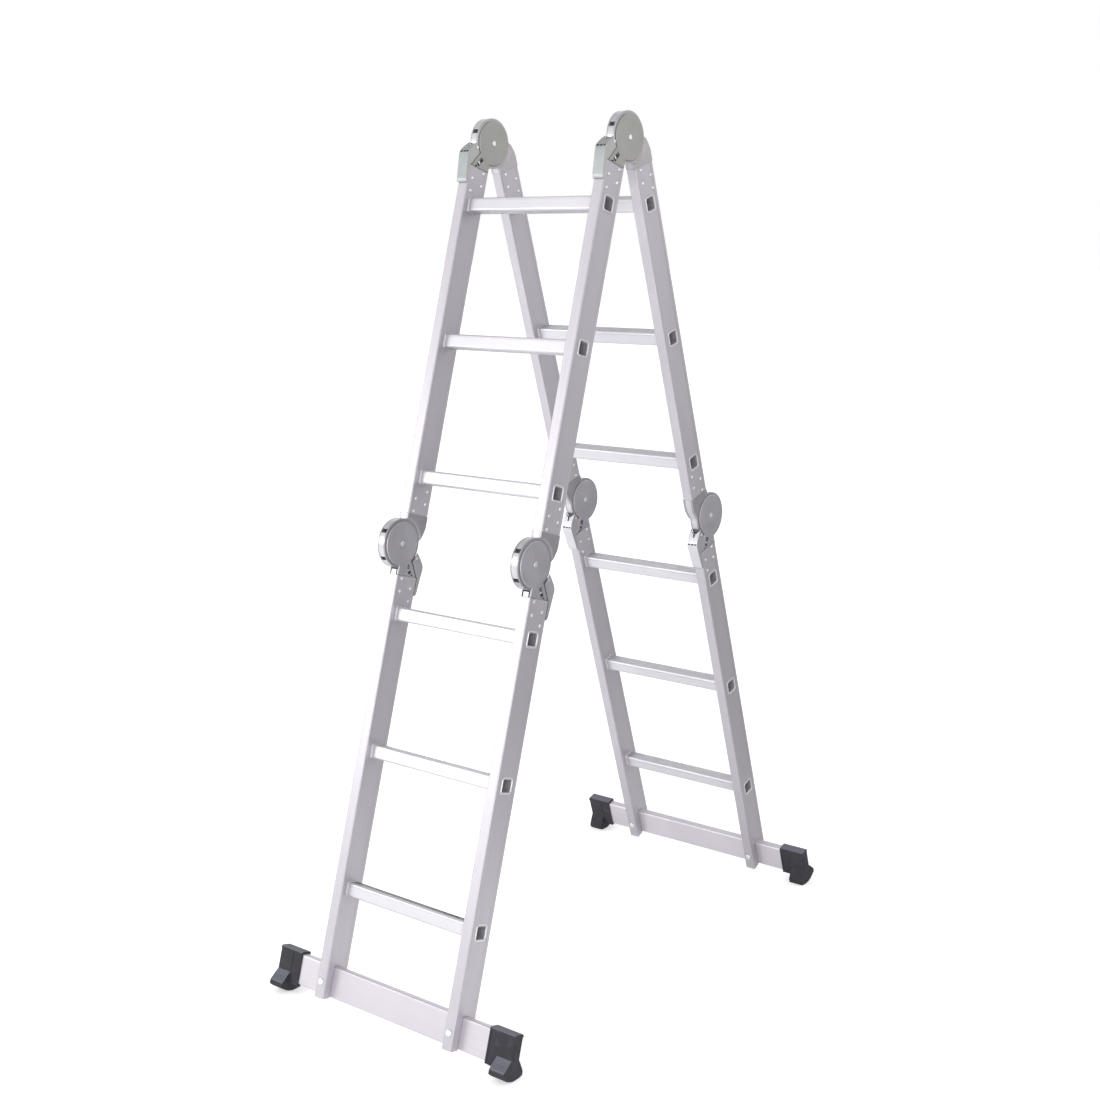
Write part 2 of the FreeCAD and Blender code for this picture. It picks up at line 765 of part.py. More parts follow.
def foot():
    """A rubber cap over the tube's end, with a flared pad under it whose curved
    sole has one flat facet that is level when the ladder stands."""
    body = new_body("front_right_foot")
    cap_top = dim.rail_bottom - dim.rail_tall - CAP_ABOVE
    cap_bottom = dim.rail_bottom + CAP_BELOW
    cap = Sketch(body, "YZ_Plane", dim.foot_inner)
    cap.rounded(
        y_mid,
        -(cap_top + cap_bottom) / 2,
        dim.rail_deep + CAP_EXTRA,
        cap_bottom - cap_top,
        CAP_CORNER,
    )
    pad(cap, dim.foot_outer - dim.foot_inner)
    flared_pad = Sketch(body, "YZ_Plane", dim.foot_step).polygon(pad_outline())
    pad(flared_pad, dim.foot_outer - dim.foot_step)
    # socket for the tube
    socket = Sketch(body, "YZ_Plane", dim.rail_half + dim.fit_gap)
    socket.rounded(
        y_mid,
        -rail_mid,
        dim.rail_deep + dim.fit_gap * 2,
        dim.rail_tall + dim.fit_gap * 2,
        RAIL_CORNER,
    )
    pocket(socket, dim.rail_half - dim.foot_inner + 1)
    # inner lower corner cut away at a slant
    slant = Sketch(body, "XZ_Plane").polygon(
        [
            (dim.foot_inner - 1, -(dim.rail_bottom + SLANT_UPPER)),
            (dim.foot_step, -(dim.rail_bottom + SLANT_OUT)),
            (dim.foot_inner - 1, -(dim.rail_bottom + SLANT_LOWER)),
        ]
    )
    pocket(slant)
    # level facet on the sole: the floor in the leg's frame
    lean = math.radians(dim.lean_angle.value)
    floor_drop = dim.hinge_height.value / math.cos(lean)
    floor_back = FACET_BACK * math.tan(lean) - floor_drop
    floor_front = FACET_FRONT * math.tan(lean) - floor_drop
    facet = Sketch(body, "YZ_Plane", dim.foot_outer).polygon(
        [
            (FACET_BACK, floor_back),
            (FACET_FRONT, floor_front),
            (FACET_FRONT, floor_front - FACET_FRONT_DROP),
            (FACET_BACK, -(floor_drop + FACET_BACK_DROP)),
        ]
    )
    pocket(facet, dim.foot_outer - dim.foot_inner + 2)
    stand(body)
    return body


four(foot(), "foot")


# -------------------------------------------------------------- hinge outlines
# Every outline is a list of (across, along) from the hinge axis.

# the half that carries the covers, beyond its disc
COVER_ARM = [
    (0.0, 44.0), (1.2, 46.0), (1.2, 62.8), (56.2, 62.8), (54.6, 60.0), (50.6, 53.0),
    (46.4, 46.2), (41.6, 39.2), (36.6, 33.0), (31.0, 27.5), (12.0, 20.0),
]
# the layer behind the covers that carries the lever pin and becomes the tongue
EAR = [
    (3.6, 56.0), (20.0, 49.0), (30.0, 43.6), (38.0, 36.8), (43.0, 30.6),
    (46.6, 24.6), (49.0, 19.6), (53.4, 20.6), (54.4, 27.0), (56.0, 36.0),
    (57.4, 46.0), (57.4, 60.0), (57.4, 70.0), (3.6, 70.0),
]
# the half that carries the notched disc, beyond its disc
PLATE_ARM = [
    (1.2, 30.0), (1.2, 62.8), (60.0, 62.8), (60.0, 40.0), (57.6, 31.0),
    (54.0, 22.5), (50.0, 13.6), (46.4, 4.0), (44.6, -2.4), (20.0, 0.0),
]
# the tongue inside the stile's end
TONGUE_START = 60.0
TONGUE = [
    (dim.tongue_low, TONGUE_START),
    (dim.tongue_high, TONGUE_START),
    (dim.tongue_high, dim.tongue_end),
    (dim.tongue_low, dim.tongue_end),
]
# the small slanted hole beside the lock slot
OBLONG_HOLE = [(38.6, 57.2), (45.8, 59.6), (45.0, 62.0), (37.8, 59.6)]
# the block between the two covers
SPACER = [(1.3, 52.2), (12.0, 52.2), (12.0, 62.8), (1.3, 62.8)]
# the lever's side flange, hooked over the lever pin and running down over the
# stile's far face
FLANGE = [
    (47.6, 12.4), (53.0, 16.4), (60.0, 23.6), (66.6, 31.0), (70.4, 36.6),
    (71.6, 40.6), (71.6, 47.0), (70.6, 54.0), (66.2, 92.0), (64.6, 97.4),
    (62.4, 100.0), (60.6, 100.0), (60.6, 64.4), (58.6, 61.8), (56.2, 59.6),
    (51.9, 52.3), (47.6, 45.4), (42.8, 38.3), (38.6, 33.0), (40.0, 30.8),
    (43.6, 26.0), (46.2, 20.6), (47.4, 16.0),
]
# the lever's thumb plate
SKIN_LOWER = [
    (69.2, 39.4), (71.6, 40.6), (71.6, 47.0), (70.6, 54.0), (66.2, 92.0),
    (64.6, 97.4), (62.4, 100.0), (61.2, 98.4), (62.8, 96.2), (64.3, 91.2),
    (68.6, 54.0), (69.6, 47.0), (69.6, 41.6),
]
# the lever's bright plate, nearer the hinge axis
SKIN_UPPER = [
    (51.6, 15.4), (53.0, 16.4), (60.0, 23.6), (66.6, 31.0), (70.4, 36.6),
    (68.8, 37.6), (65.0, 32.2), (58.6, 25.0), (52.2, 18.0),
]
# the cheeks inside the lever
CHEEK = [
    (43.0, 57.4), (40.0, 62.2), (35.8, 63.7), (31.6, 62.8), (28.8, 59.6),
    (28.0, 55.4), (29.4, 51.2), (33.6, 48.4), (38.6, 47.2), (47.0, 43.6),
    (53.0, 36.0), (60.0, 30.0), (66.4, 34.0), (70.4, 38.0), (70.4, 47.0),
    (68.8, 56.0), (60.0, 57.6),
]
# one half of the cleft in the bright plate's edge: x from the hinge middle, across
CLEFT_HALF = [(7.6, 50.0), (7.0, 53.6), (1.9, 57.0), (1.9, 61.8)]

SLOT_CLEARANCE = 0.5  # lock slot wider than the bar
NOTCH_OVERRUN = 1.2  # length of a notch's cut beyond the disc
PIVOT_ROUNDING = 0.9
CLEFT_START, CLEFT_LENGTH = 8.0, 21.4  # along the stile
CHEEK_LOW, CHEEK_THICK = 3.2, 2.2  # from the hinge middle outwards
CROSS_PIN_REACH = 66.0  # lock bar's cross pin and stem end from the hinge axis
CROSS_PIN_RADIUS, CROSS_PIN_LENGTH = 1.7, 12.0
CROSS_PIN_CLEARANCE = 6.6  # radius of the hole around it in the lever
CROSS_PIN_CLEARANCE_LENGTH = 14
STEM_WIDE, STEM_THICK = 4.4, 5.0
STEM_SINK, WING_SINK = 1, 0.4  # starts of stem and wings inside the bar
PIN_GAP = 0.05  # between lever flange and pin head
PIN_OVERLAP = 0.2  # pin length inside its heads, both ends together
PIN_HEAD_EXTRA, PIN_HEAD_HIGH = 0.9, 0.9
SPRING_PITCH, SPRING_LENGTH, SPRING_WIRE = 1.5, 4.5, 0.5
SPRING_CLEARANCE = 0.85  # pin surface to the wire's middle

half_thick = dim.stile_thick / 2


# ---------------------------------------------------------------------- hinges
class Hinge:
    """Where a hinge half sits: the leg frame's y and z of the axis, and which
    way across and along run in y and z."""

    def __init__(self, name, axis, across_sign, along_sign, leg):
        self.name = name
        self.axis = (size(axis[0]), size(axis[1]))
        self.across_sign, self.along_sign = across_sign, along_sign
        self.leg = leg

    def at(self, across, along):
        y, z = self.axis
        return y + self.across_sign * size(across), z + self.along_sign * size(along)

    def polar(self, angle, radius, shift=0.0):
        """A point at this angle from along towards across, shifted at right
        angles to the radius."""
        turn = math.radians(size(angle).value)
        reach = size(radius).value
        return self.at(
            reach * math.sin(turn) + shift * math.cos(turn),
            reach * math.cos(turn) - shift * math.sin(turn),
        )

    def outline(self, points):
        return [self.at(across, along) for across, along in points]

    def block(self, angle, inner, outer, wide):
        """A rectangle along a radius, as four points."""
        half = size(wide).value / 2
        return [
            self.polar(angle, inner, -half),
            self.polar(angle, outer, -half),
            self.polar(angle, outer, half),
            self.polar(angle, inner, half),
        ]

    def lever_pin(self):
        return self.at(dim.lever_pin_across, dim.lever_pin_along)

    def cross_pin(self):
        return self.polar(dim.lock_angle, CROSS_PIN_REACH)

    def bores(self, body, with_lever_pin=False):
        """A sketch of the holes for the pivot, the lever pin and the rivets."""
        sketch = stile_sketch(body)
        sketch.circles([self.axis], dim.pivot_radius + dim.fit_gap)
        if with_lever_pin:
            sketch.circles([self.lever_pin()], dim.lever_pin_radius + dim.fit_gap)
        return sketch.circles(self.outline(RIVETS), rivet_hole)


def covers(hinge):
    """Two cover plates with the lock slot, and the spacer between them."""
    body = new_body(hinge.name + "_cover_plate")
    thick = half_thick - dim.cover_low
    pad(stile_sketch(body, dim.cover_low).circles([hinge.axis], dim.cover_radius), thick)
    pad(stile_sketch(body, dim.cover_low).polygon(hinge.outline(COVER_ARM)), thick)
    dress(body, "Chamfer", dim.cover_bevel, "x", (x_mid + half_thick).value)
    ear_thick = dim.cover_low - dim.plate_low
    pad(stile_sketch(body, dim.plate_low).polygon(hinge.outline(EAR)), ear_thick)
    tongue = stile_sketch(body, dim.plate_low).polygon(hinge.outline(TONGUE))
    pad(tongue, ear_thick - SEAT_GAP)
    slot_wide = dim.bar_wide + SLOT_CLEARANCE
    slot = hinge.block(dim.lock_angle, dim.slot_inner, dim.slot_outer, slot_wide)
    for hole in (slot, hinge.outline(OBLONG_HOLE)):
        pocket(stile_sketch(body).polygon(hole), HINGE_THROUGH, back=True)
    pocket(hinge.bores(body, with_lever_pin=True), HINGE_THROUGH, back=True)
    stand(body, hinge.leg)

    block = new_body(hinge.name + "_spacer")
    spacer = stile_sketch(block).polygon(hinge.outline(SPACER))
    pad(spacer, dim.plate_low * 2 - SEAT_GAP * 2, both=True)
    stand(block, hinge.leg)
    inner = mirror(body, ACROSS_X, hinge.name + "_cover_inner", x_mid)
    return group(hinge.name + "_covers", [body, inner, block])


STEP_TAPER = -52.0  # degrees


def side_plates(hinge):
    """Two pressed plates with whole round rims that hold the notched plate,
    stepped out flush with the stile beyond the disc."""
    body = new_body(hinge.name + "_side_plate")
    thick = dim.plate_high - dim.plate_low
    pad(stile_sketch(body, dim.plate_low).circles([hinge.axis], dim.drum_radius), thick)
    arm = stile_sketch(body, dim.plate_low).polygon(hinge.outline(PLATE_ARM))
    pad(arm, half_thick - dim.plate_low)
    # the pressed step, a cone around the axis
    step = stile_sketch(body, half_thick).circles([hinge.axis], dim.step_radius)
    pocket(step, half_thick - dim.plate_high, taper=STEP_TAPER)
    pad(stile_sketch(body, dim.plate_low).polygon(hinge.outline(TONGUE)), thick)
    pocket(hinge.bores(body), HINGE_THROUGH, back=True)
    stand(body, hinge.leg)
    inner = mirror(body, ACROSS_X, hinge.name + "_side_plate_inner", x_mid)
    return group(hinge.name + "_side_plates", [body, inner])


def notched_plate(hinge, openings):
    """The middle plate: a disc with a notch for every locking position, given
    as the angle between the sections in degrees."""
    body = new_body(hinge.name + "_notched_plate_right")
    thick = dim.core_half * 2
    pad(stile_sketch(body).circles([hinge.axis], dim.drum_radius), thick, both=True)
    for points in (PLATE_ARM, TONGUE):
        pad(stile_sketch(body).polygon(hinge.outline(points)), thick, both=True)
    for opening in openings:
        notch = hinge.block(
            -dim.lock_angle.value - opening,
            dim.drum_radius - dim.notch_depth,
            dim.drum_radius + NOTCH_OVERRUN,
            dim.notch_width,
        )
        pocket(stile_sketch(body).polygon(notch), HINGE_THROUGH, both=True)
    pocket(hinge.bores(body))
    stand(body, hinge.leg)
    return body


def pivot(hinge):
    body = new_body(hinge.name + "_pivot_right")
    headed_pins(
        body,
        "YZ_Plane",
        x_mid,
        [hinge.axis],
        shank_radius=dim.pivot_radius,
        head_radius=dim.pivot_head,
        seat=half_thick + SEAT_GAP,
        head_high=dim.head_high,
        overlap=HEAD_OVERLAP,
        rounding=PIVOT_ROUNDING,
    )
    stand(body, hinge.leg)
    return body


def lever(hinge):
    """A pressed channel: two side flanges, the thumb plate and the bright plate
    above it, and two cheeks inside that draw the lock bar."""
    body = new_body(hinge.name + "_lever")
    full_width = (dim.flange_low + dim.flange_thick) * 2
    pad(stile_sketch(body).polygon(hinge.outline(SKIN_LOWER)), full_width, both=True)
    for side in SIDES:
        flange = stile_sketch(body, dim.flange_low * side).polygon(hinge.outline(FLANGE))
        pad(flange, dim.flange_thick, back=side < 0)
    pad(stile_sketch(body).polygon(hinge.outline(SKIN_UPPER)), full_width, both=True)
    cleft = CLEFT_HALF + [(-x, across) for x, across in reversed(CLEFT_HALF)]
    cleft_sketch = Sketch(body, "XY_Plane", hinge.at(0, CLEFT_START)[1])
    cleft_sketch.polygon([(x_mid + x, hinge.at(across, 0)[0]) for x, across in cleft])
    pocket(cleft_sketch, CLEFT_LENGTH)
    for side in SIDES:
        cheek = stile_sketch(body, CHEEK_LOW * side).polygon(hinge.outline(CHEEK))
        pad(cheek, CHEEK_THICK, back=side < 0)
    pin_hole = dim.lever_pin_radius + dim.fit_gap
    pocket(stile_sketch(body).circles([hinge.lever_pin()], pin_hole))
    clearance = stile_sketch(body).circles([hinge.cross_pin()], CROSS_PIN_CLEARANCE)
    pocket(clearance, CROSS_PIN_CLEARANCE_LENGTH, both=True)
    stand(body, hinge.leg)
    return body


def lock_bar(hinge):
    """The bar whose middle is the tooth that drops into a notch. Its two wings
    sit further out and run in the slots of the ears and covers, so they clear
    the side plates' rims when the tooth is down. The lever's cheeks draw it by
    its stem and cross pin."""
    body = new_body(hinge.name + "_lock_bar")

    def block(outward, inner, outer, wide):
        points = hinge.block(dim.lock_angle, inner, outer, wide)
        return stile_sketch(body, outward).polygon(points)

    tooth = block(0, dim.bar_inner, dim.bar_inner + dim.bar_thick, dim.bar_wide)
    pad(tooth, dim.tooth_half * 2, both=True)
    wing_end = dim.wing_inner + dim.wing_thick
    for side in SIDES:
        low = dim.wing_low * side
        root = block(low, dim.bar_inner + WING_SINK, wing_end, dim.bar_wide)
        pad(root, dim.tooth_half - dim.wing_low, back=side < 0)
        wing = block(low, dim.wing_inner, wing_end, dim.bar_wide)
        pad(wing, dim.wing_reach - dim.wing_low, back=side < 0)
    stem = block(0, dim.bar_inner + STEM_SINK, CROSS_PIN_REACH, STEM_WIDE)
    pad(stem, STEM_THICK, both=True)
    cross_pin = stile_sketch(body).circles([hinge.cross_pin()], CROSS_PIN_RADIUS)
    pad(cross_pin, CROSS_PIN_LENGTH, both=True)
    stand(body, hinge.leg)
    return body


def lever_pin(hinge):
    body = new_body(hinge.name + "_pin_right")
    headed_pins(
        body,
        "YZ_Plane",
        x_mid,
        [hinge.lever_pin()],
        shank_radius=dim.lever_pin_radius,
        head_radius=dim.lever_pin_radius + PIN_HEAD_EXTRA,
        seat=dim.flange_low + dim.flange_thick + PIN_GAP,
        head_high=PIN_HEAD_HIGH,
        overlap=PIN_OVERLAP,
    )
    stand(body, hinge.leg)
    return body


def lever_spring(hinge):
    """A torsion spring wound around the lever pin."""
    radius = dim.lever_pin_radius.value + SPRING_CLEARANCE
    turns = Part.makeHelix(SPRING_PITCH, SPRING_LENGTH, radius)
    section = Part.Circle(Vector(radius, 0, 0), Vector(0, 1, 0.1), SPRING_WIRE)
    wire = Part.Wire([section.toShape()])
    coil = Part.Wire(turns.Edges).makePipeShell([wire], True, True)
    coil.rotate(Vector(0, 0, 0), Vector(0, 1, 0), 90)
    y, z = hinge.lever_pin()
    coil.translate(Vector(x_mid.value - SPRING_LENGTH / 2, y.value, z.value))
    spring = doc.addObject("Part::Feature", hinge.name + "_spring_right")
    spring.Shape = coil
    spring.Placement = leg_placement(hinge.leg).multiply(spring.Placement)
    return spring


def hinge_pair(place, fixed, moving, openings):
    """All pieces of the right and left hinges at one place. The fixed half
    carries the covers and the lever. Returns the pieces' names."""
    names = []
    for kind, piece in (
        ("hinge_covers", covers(fixed)),
        ("hinge_side_plates", side_plates(moving)),
        ("lever", lever(fixed)),
        ("lock_bar", lock_bar(fixed)),
    ):
        right, left = "%s_right_%s" % (place, kind), "%s_left_%s" % (place, kind)
        node(right, piece)
        mirrored_node(left, piece, ACROSS_X)
        names += [right, left]
    for kind, piece in (
        ("hinge_notched_plates", notched_plate(moving, openings)),
        ("hinge_pivots", pivot(fixed)),
        ("lever_pins", lever_pin(fixed)),
        ("lever_springs", lever_spring(fixed)),
    ):
        name = "%s_%s" % (place, kind)
        node(name, pair(piece, name))
        names.append(name)
    return names


# Openings between the sections that have a notch, degrees
open_now = 2 * dim.lean_angle.value
MIDDLE_OPENINGS = [34.5, 103.0, 150.0, 180.0]
TOP_OPENINGS = [open_now - 33.0, open_now, 103.0, 180.0]

middle_axis = (-axis_span, -dim.section_run)
front_names = hinge_pair(
    "front_middle",
    Hinge("front_middle", middle_axis, across_sign=1, along_sign=-1, leg=-1),
    Hinge("front_middle", middle_axis, across_sign=1, along_sign=1, leg=-1),
    MIDDLE_OPENINGS,
)
for name in front_names:
    mirrored_node(name.replace("front", "rear"), nodes[name], ACROSS_Y)
hinge_pair(
    "top",
    Hinge("top", (0, 0), across_sign=-1, along_sign=-1, leg=-1),
    Hinge("top", (0, 0), across_sign=1, along_sign=-1, leg=1),
    TOP_OPENINGS,
)

# --------------------------------------------------------------------- writing
doc.recompute()
bad = []
for obj in doc.Objects:
    if any(state in ("Invalid", "Error") for state in obj.State):
        bad.append((obj.Name, obj.State))
for name, obj in nodes.items():
    shape = obj.Shape
    if shape.isNull() or not shape.isValid() or not shape.Solids:
        bad.append((name, "shape"))
    elif any(solid.Volume <= 0 for solid in shape.Solids):
        bad.append((name, "volume"))
assert not bad, bad

os.makedirs("parts", exist_ok=True)
for old in os.listdir("parts"):
    if old.endswith(".step"):
        os.remove(os.path.join("parts", old))
for name, obj in sorted(nodes.items()):
    obj.Shape.exportStep(os.path.join("parts", name + ".step"))
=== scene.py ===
import json
import math

import bmesh
import bpy
from mathutils import Matrix, Vector


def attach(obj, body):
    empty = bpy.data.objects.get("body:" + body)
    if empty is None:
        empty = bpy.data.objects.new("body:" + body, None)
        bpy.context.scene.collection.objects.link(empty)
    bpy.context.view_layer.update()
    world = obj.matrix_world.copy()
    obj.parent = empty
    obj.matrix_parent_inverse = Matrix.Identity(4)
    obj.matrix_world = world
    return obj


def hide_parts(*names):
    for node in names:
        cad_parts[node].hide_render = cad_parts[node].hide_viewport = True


# Multi position ladder, standing open as an A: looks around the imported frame.
# Metres, row frame: X runs along the hinge axes and the rungs, the front leg leans
# towards -Y, and the floor is z = 0. A leg frame has its origin on the top hinge
# axis and its -Z down the leg.

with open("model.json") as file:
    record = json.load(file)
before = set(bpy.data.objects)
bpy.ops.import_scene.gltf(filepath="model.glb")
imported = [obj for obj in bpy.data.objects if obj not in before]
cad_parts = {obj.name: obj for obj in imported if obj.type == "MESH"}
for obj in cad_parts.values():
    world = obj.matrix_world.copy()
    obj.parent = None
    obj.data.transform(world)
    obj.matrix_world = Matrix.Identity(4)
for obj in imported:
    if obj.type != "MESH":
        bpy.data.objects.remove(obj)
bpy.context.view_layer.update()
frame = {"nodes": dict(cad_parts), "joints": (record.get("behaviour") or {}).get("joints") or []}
nodes = frame["nodes"]
joints = {joint["name"]: joint for joint in frame["joints"]}

# the middle hinge axis from the top one, in the front leg's frame
MIDDLE_OUT = 0.061
MIDDLE_DOWN = 0.84

top_axis = Vector(joints["top_hinge"]["pos_m"])
middle_axis = Vector(joints["front_middle_hinge"]["pos_m"])
drop = middle_axis - top_axis
HEIGHT = top_axis.z
LEAN = math.atan2(-drop.y, -drop.z) - math.atan2(MIDDLE_OUT, MIDDLE_DOWN)
FRONT_LEG = Matrix.Translation((0, 0, HEIGHT)) @ Matrix.Rotation(-LEAN, 4, "X")


# ---------------------------------------------------------------- node trees
class Nodes:
    """A short way to write any node tree."""

    def __init__(self, node_tree):
        self.node_tree = node_tree
        node_tree.nodes.clear()

    def new(self, kind, **settings):
        node = self.node_tree.nodes.new("ShaderNode" + kind)
        for key, value in settings.items():
            setattr(node, key, value)
        return node

    def put(self, socket, value):
        """Links an output to the socket, or sets a plain value; None leaves it alone."""
        if isinstance(value, bpy.types.NodeSocket):
            self.node_tree.links.new(value, socket)
        elif value is not None:
            socket.default_value = value

    def calc(self, operation, a, b=0.0, clamp=False):
        node = self.new("Math", operation=operation, use_clamp=clamp)
        self.put(node.inputs[0], a)
        self.put(node.inputs[1], b)
        return node.outputs[0]

    def scaled(self, value, by):
        return self.calc("MULTIPLY", value, by)

    def shifted(self, base, value, by, operation="ADD", clamp=False):
        """base plus (or minus) value times by."""
        return self.calc(operation, base, self.scaled(value, by), clamp)

    def spread(self, value, lo, hi, to_lo=0.0, to_hi=1.0):
        """Maps lo..hi to to_lo..to_hi, clamped."""
        node = self.new("MapRange", clamp=True)
        self.put(node.inputs["Value"], value)
        self.put(node.inputs["From Min"], lo)
        self.put(node.inputs["From Max"], hi)
        self.put(node.inputs["To Min"], to_lo)
        self.put(node.inputs["To Max"], to_hi)
        return node.outputs["Result"]

    def split(self, vector):
        node = self.new("SeparateXYZ")
        self.put(node.inputs[0], vector)
        return node.outputs


class Material(Nodes):
    """A principled material; turn is the angle about X that lays Z along a leg."""

    def __init__(self, name, turn=0.0):
        self.material = bpy.data.materials.new(name)
        self.material.use_nodes = True
        super().__init__(self.material.node_tree)
        self.turn = turn
        output = self.new("OutputMaterial")
        self.surface = self.new("BsdfPrincipled")
        self.put(output.inputs["Surface"], self.surface.outputs[0])
        self.object_place = self.new("TexCoord").outputs["Object"]

    def set(self, name, value):
        self.put(self.surface.inputs[name], value)

    def mapped(self, scale=(1, 1, 1)):
        """Object coordinates turned into the leg's direction, then scaled."""
        turned = self.new("Mapping")
        self.put(turned.inputs["Vector"], self.object_place)
        turned.inputs["Rotation"].default_value = (self.turn, 0, 0)
        stretched = self.new("Mapping")
        self.put(stretched.inputs["Vector"], turned.outputs[0])
        stretched.inputs["Scale"].default_value = scale
        return stretched.outputs[0]

    def noise(self, vector, scale=1.0, detail=2.0, rough=0.5, distortion=0.0):
        node = self.new("TexNoise")
        self.put(node.inputs["Vector"], vector)
        node.inputs["Scale"].default_value = scale
        node.inputs["Detail"].default_value = detail
        node.inputs["Roughness"].default_value = rough
        node.inputs["Distortion"].default_value = distortion
        return node.outputs["Fac"]

    def blend(self, factor, a, b):
        node = self.new("Mix", data_type="RGBA", blend_type="MIX")
        self.put(node.inputs[0], factor)
        for index, colour in ((6, a), (7, b)):
            self.put(node.inputs[index], (*colour, 1.0) if isinstance(colour, tuple) else colour)
        return node.outputs[2]

    def overlay(self, colour, mask, strength, tint):
        """Lays a tint over the colour where the mask is high."""
        return self.blend(self.scaled(mask, strength), colour, tint)

    def bump(self, height, strength, distance, normal=None):
        node = self.new("Bump")
        node.inputs["Strength"].default_value = strength
        node.inputs["Distance"].default_value = distance
        self.put(node.inputs["Height"], height)
        self.put(node.inputs["Normal"], normal)
        return node.outputs["Normal"]

    def soft_edge(self, radius):
        node = self.new("Bevel", samples=4)
        node.inputs["Radius"].default_value = radius
        return node.outputs["Normal"]

    def edge_mask(self, rounded):
        """1 on sharp edges, 0 on faces."""
        geometry = self.new("NewGeometry")
        dot = self.new("VectorMath", operation="DOT_PRODUCT")
        self.put(dot.inputs[0], rounded)
        self.put(dot.inputs[1], geometry.outputs["Normal"])
        return self.spread(self.calc("ABSOLUTE", dot.outputs["Value"]), lo=0.995, hi=0.80)

    def crevices(self, reach, lo, hi):
        """1 where surfaces crowd together within reach, 0 in the open."""
        node = self.new("AmbientOcclusion", samples=4, only_local=False)
        node.inputs["Distance"].default_value = reach
        return self.spread(node.outputs["AO"], lo=lo, hi=hi, to_lo=1.0, to_hi=0.0)


# ------------------------------------------------------------------ materials
def srgb(red, green, blue):
    """Linear colour from 0-255 sRGB values."""

    def linear(value):
        value /= 255.0
        return value / 12.92 if value <= 0.04045 else ((value + 0.055) / 1.055) ** 2.4

    return (linear(red), linear(green), linear(blue))


def shade(colour, by):
    return tuple(min(1.0, by * channel) for channel in colour)


# texture scale of the drawing lines: low along the axis they follow
LINES_DOWN = (900, 900, 7)
LINES_ACROSS = (7, 900, 900)


def aluminium(name, turn, light, dark, rough=0.42, metal=0.72, lines=LINES_DOWN, reach=0.004):
    """Satin extruded aluminium: fine drawing lines, faint blotches, brighter
    worn edges, small scuffs, and painted shade with some grime where pieces
    meet and inside tubes."""
    m = Material(name, turn)
    fine = m.noise(m.mapped(lines), detail=3.0, rough=0.6)
    finer = m.noise(m.mapped(tuple(4.0 * scale for scale in lines)), detail=2.0, rough=0.6)
    broad = m.noise(m.mapped((5, 5, 2.2)), detail=3.0, rough=0.55)
    scuff = m.noise(m.mapped((60, 60, 26)), detail=5.0, rough=0.7, distortion=0.6)
    scuffs = m.spread(scuff, lo=0.66, hi=0.76)
    colour = m.blend(m.spread(broad, lo=0.3, hi=0.7), dark, light)
    lined = m.spread(fine, lo=0.35, hi=0.68)
    colour = m.overlay(colour, lined, strength=0.20, tint=shade(dark, by=0.80))
    colour = m.overlay(colour, scuffs, strength=0.16, tint=shade(dark, by=0.72))
    rounded = m.soft_edge(radius=0.0004)
    edges = m.edge_mask(rounded)
    patches = m.spread(m.noise(m.mapped((90, 90, 30)), detail=4.0), lo=0.40, hi=0.62)
    worn = m.calc("MULTIPLY", edges, patches)
    colour = m.overlay(colour, worn, strength=0.55, tint=shade(light, by=1.25))
    # painted shade with some grime: darker where other surfaces come within reach, at joints, in
    # corners and inside tubes
    painted_shade_and_grime = m.crevices(reach=reach, lo=0.12, hi=0.80)
    colour = m.overlay(colour, painted_shade_and_grime, strength=0.60, tint=shade(dark, by=0.30))
    m.set("Base Color", colour)
    m.set("Metallic", metal)
    roughness = m.shifted(rough, m.calc("SUBTRACT", fine, 0.5), by=0.22)
    roughness = m.shifted(roughness, scuffs, by=0.12)
    roughness = m.shifted(roughness, worn, by=0.12, operation="SUBTRACT", clamp=True)
    m.set("Roughness", roughness)
    height = m.shifted(m.scaled(fine, by=0.7), finer, by=0.3)
    m.set("Normal", m.bump(height, strength=0.22, distance=0.00012, normal=rounded))
    return m.material


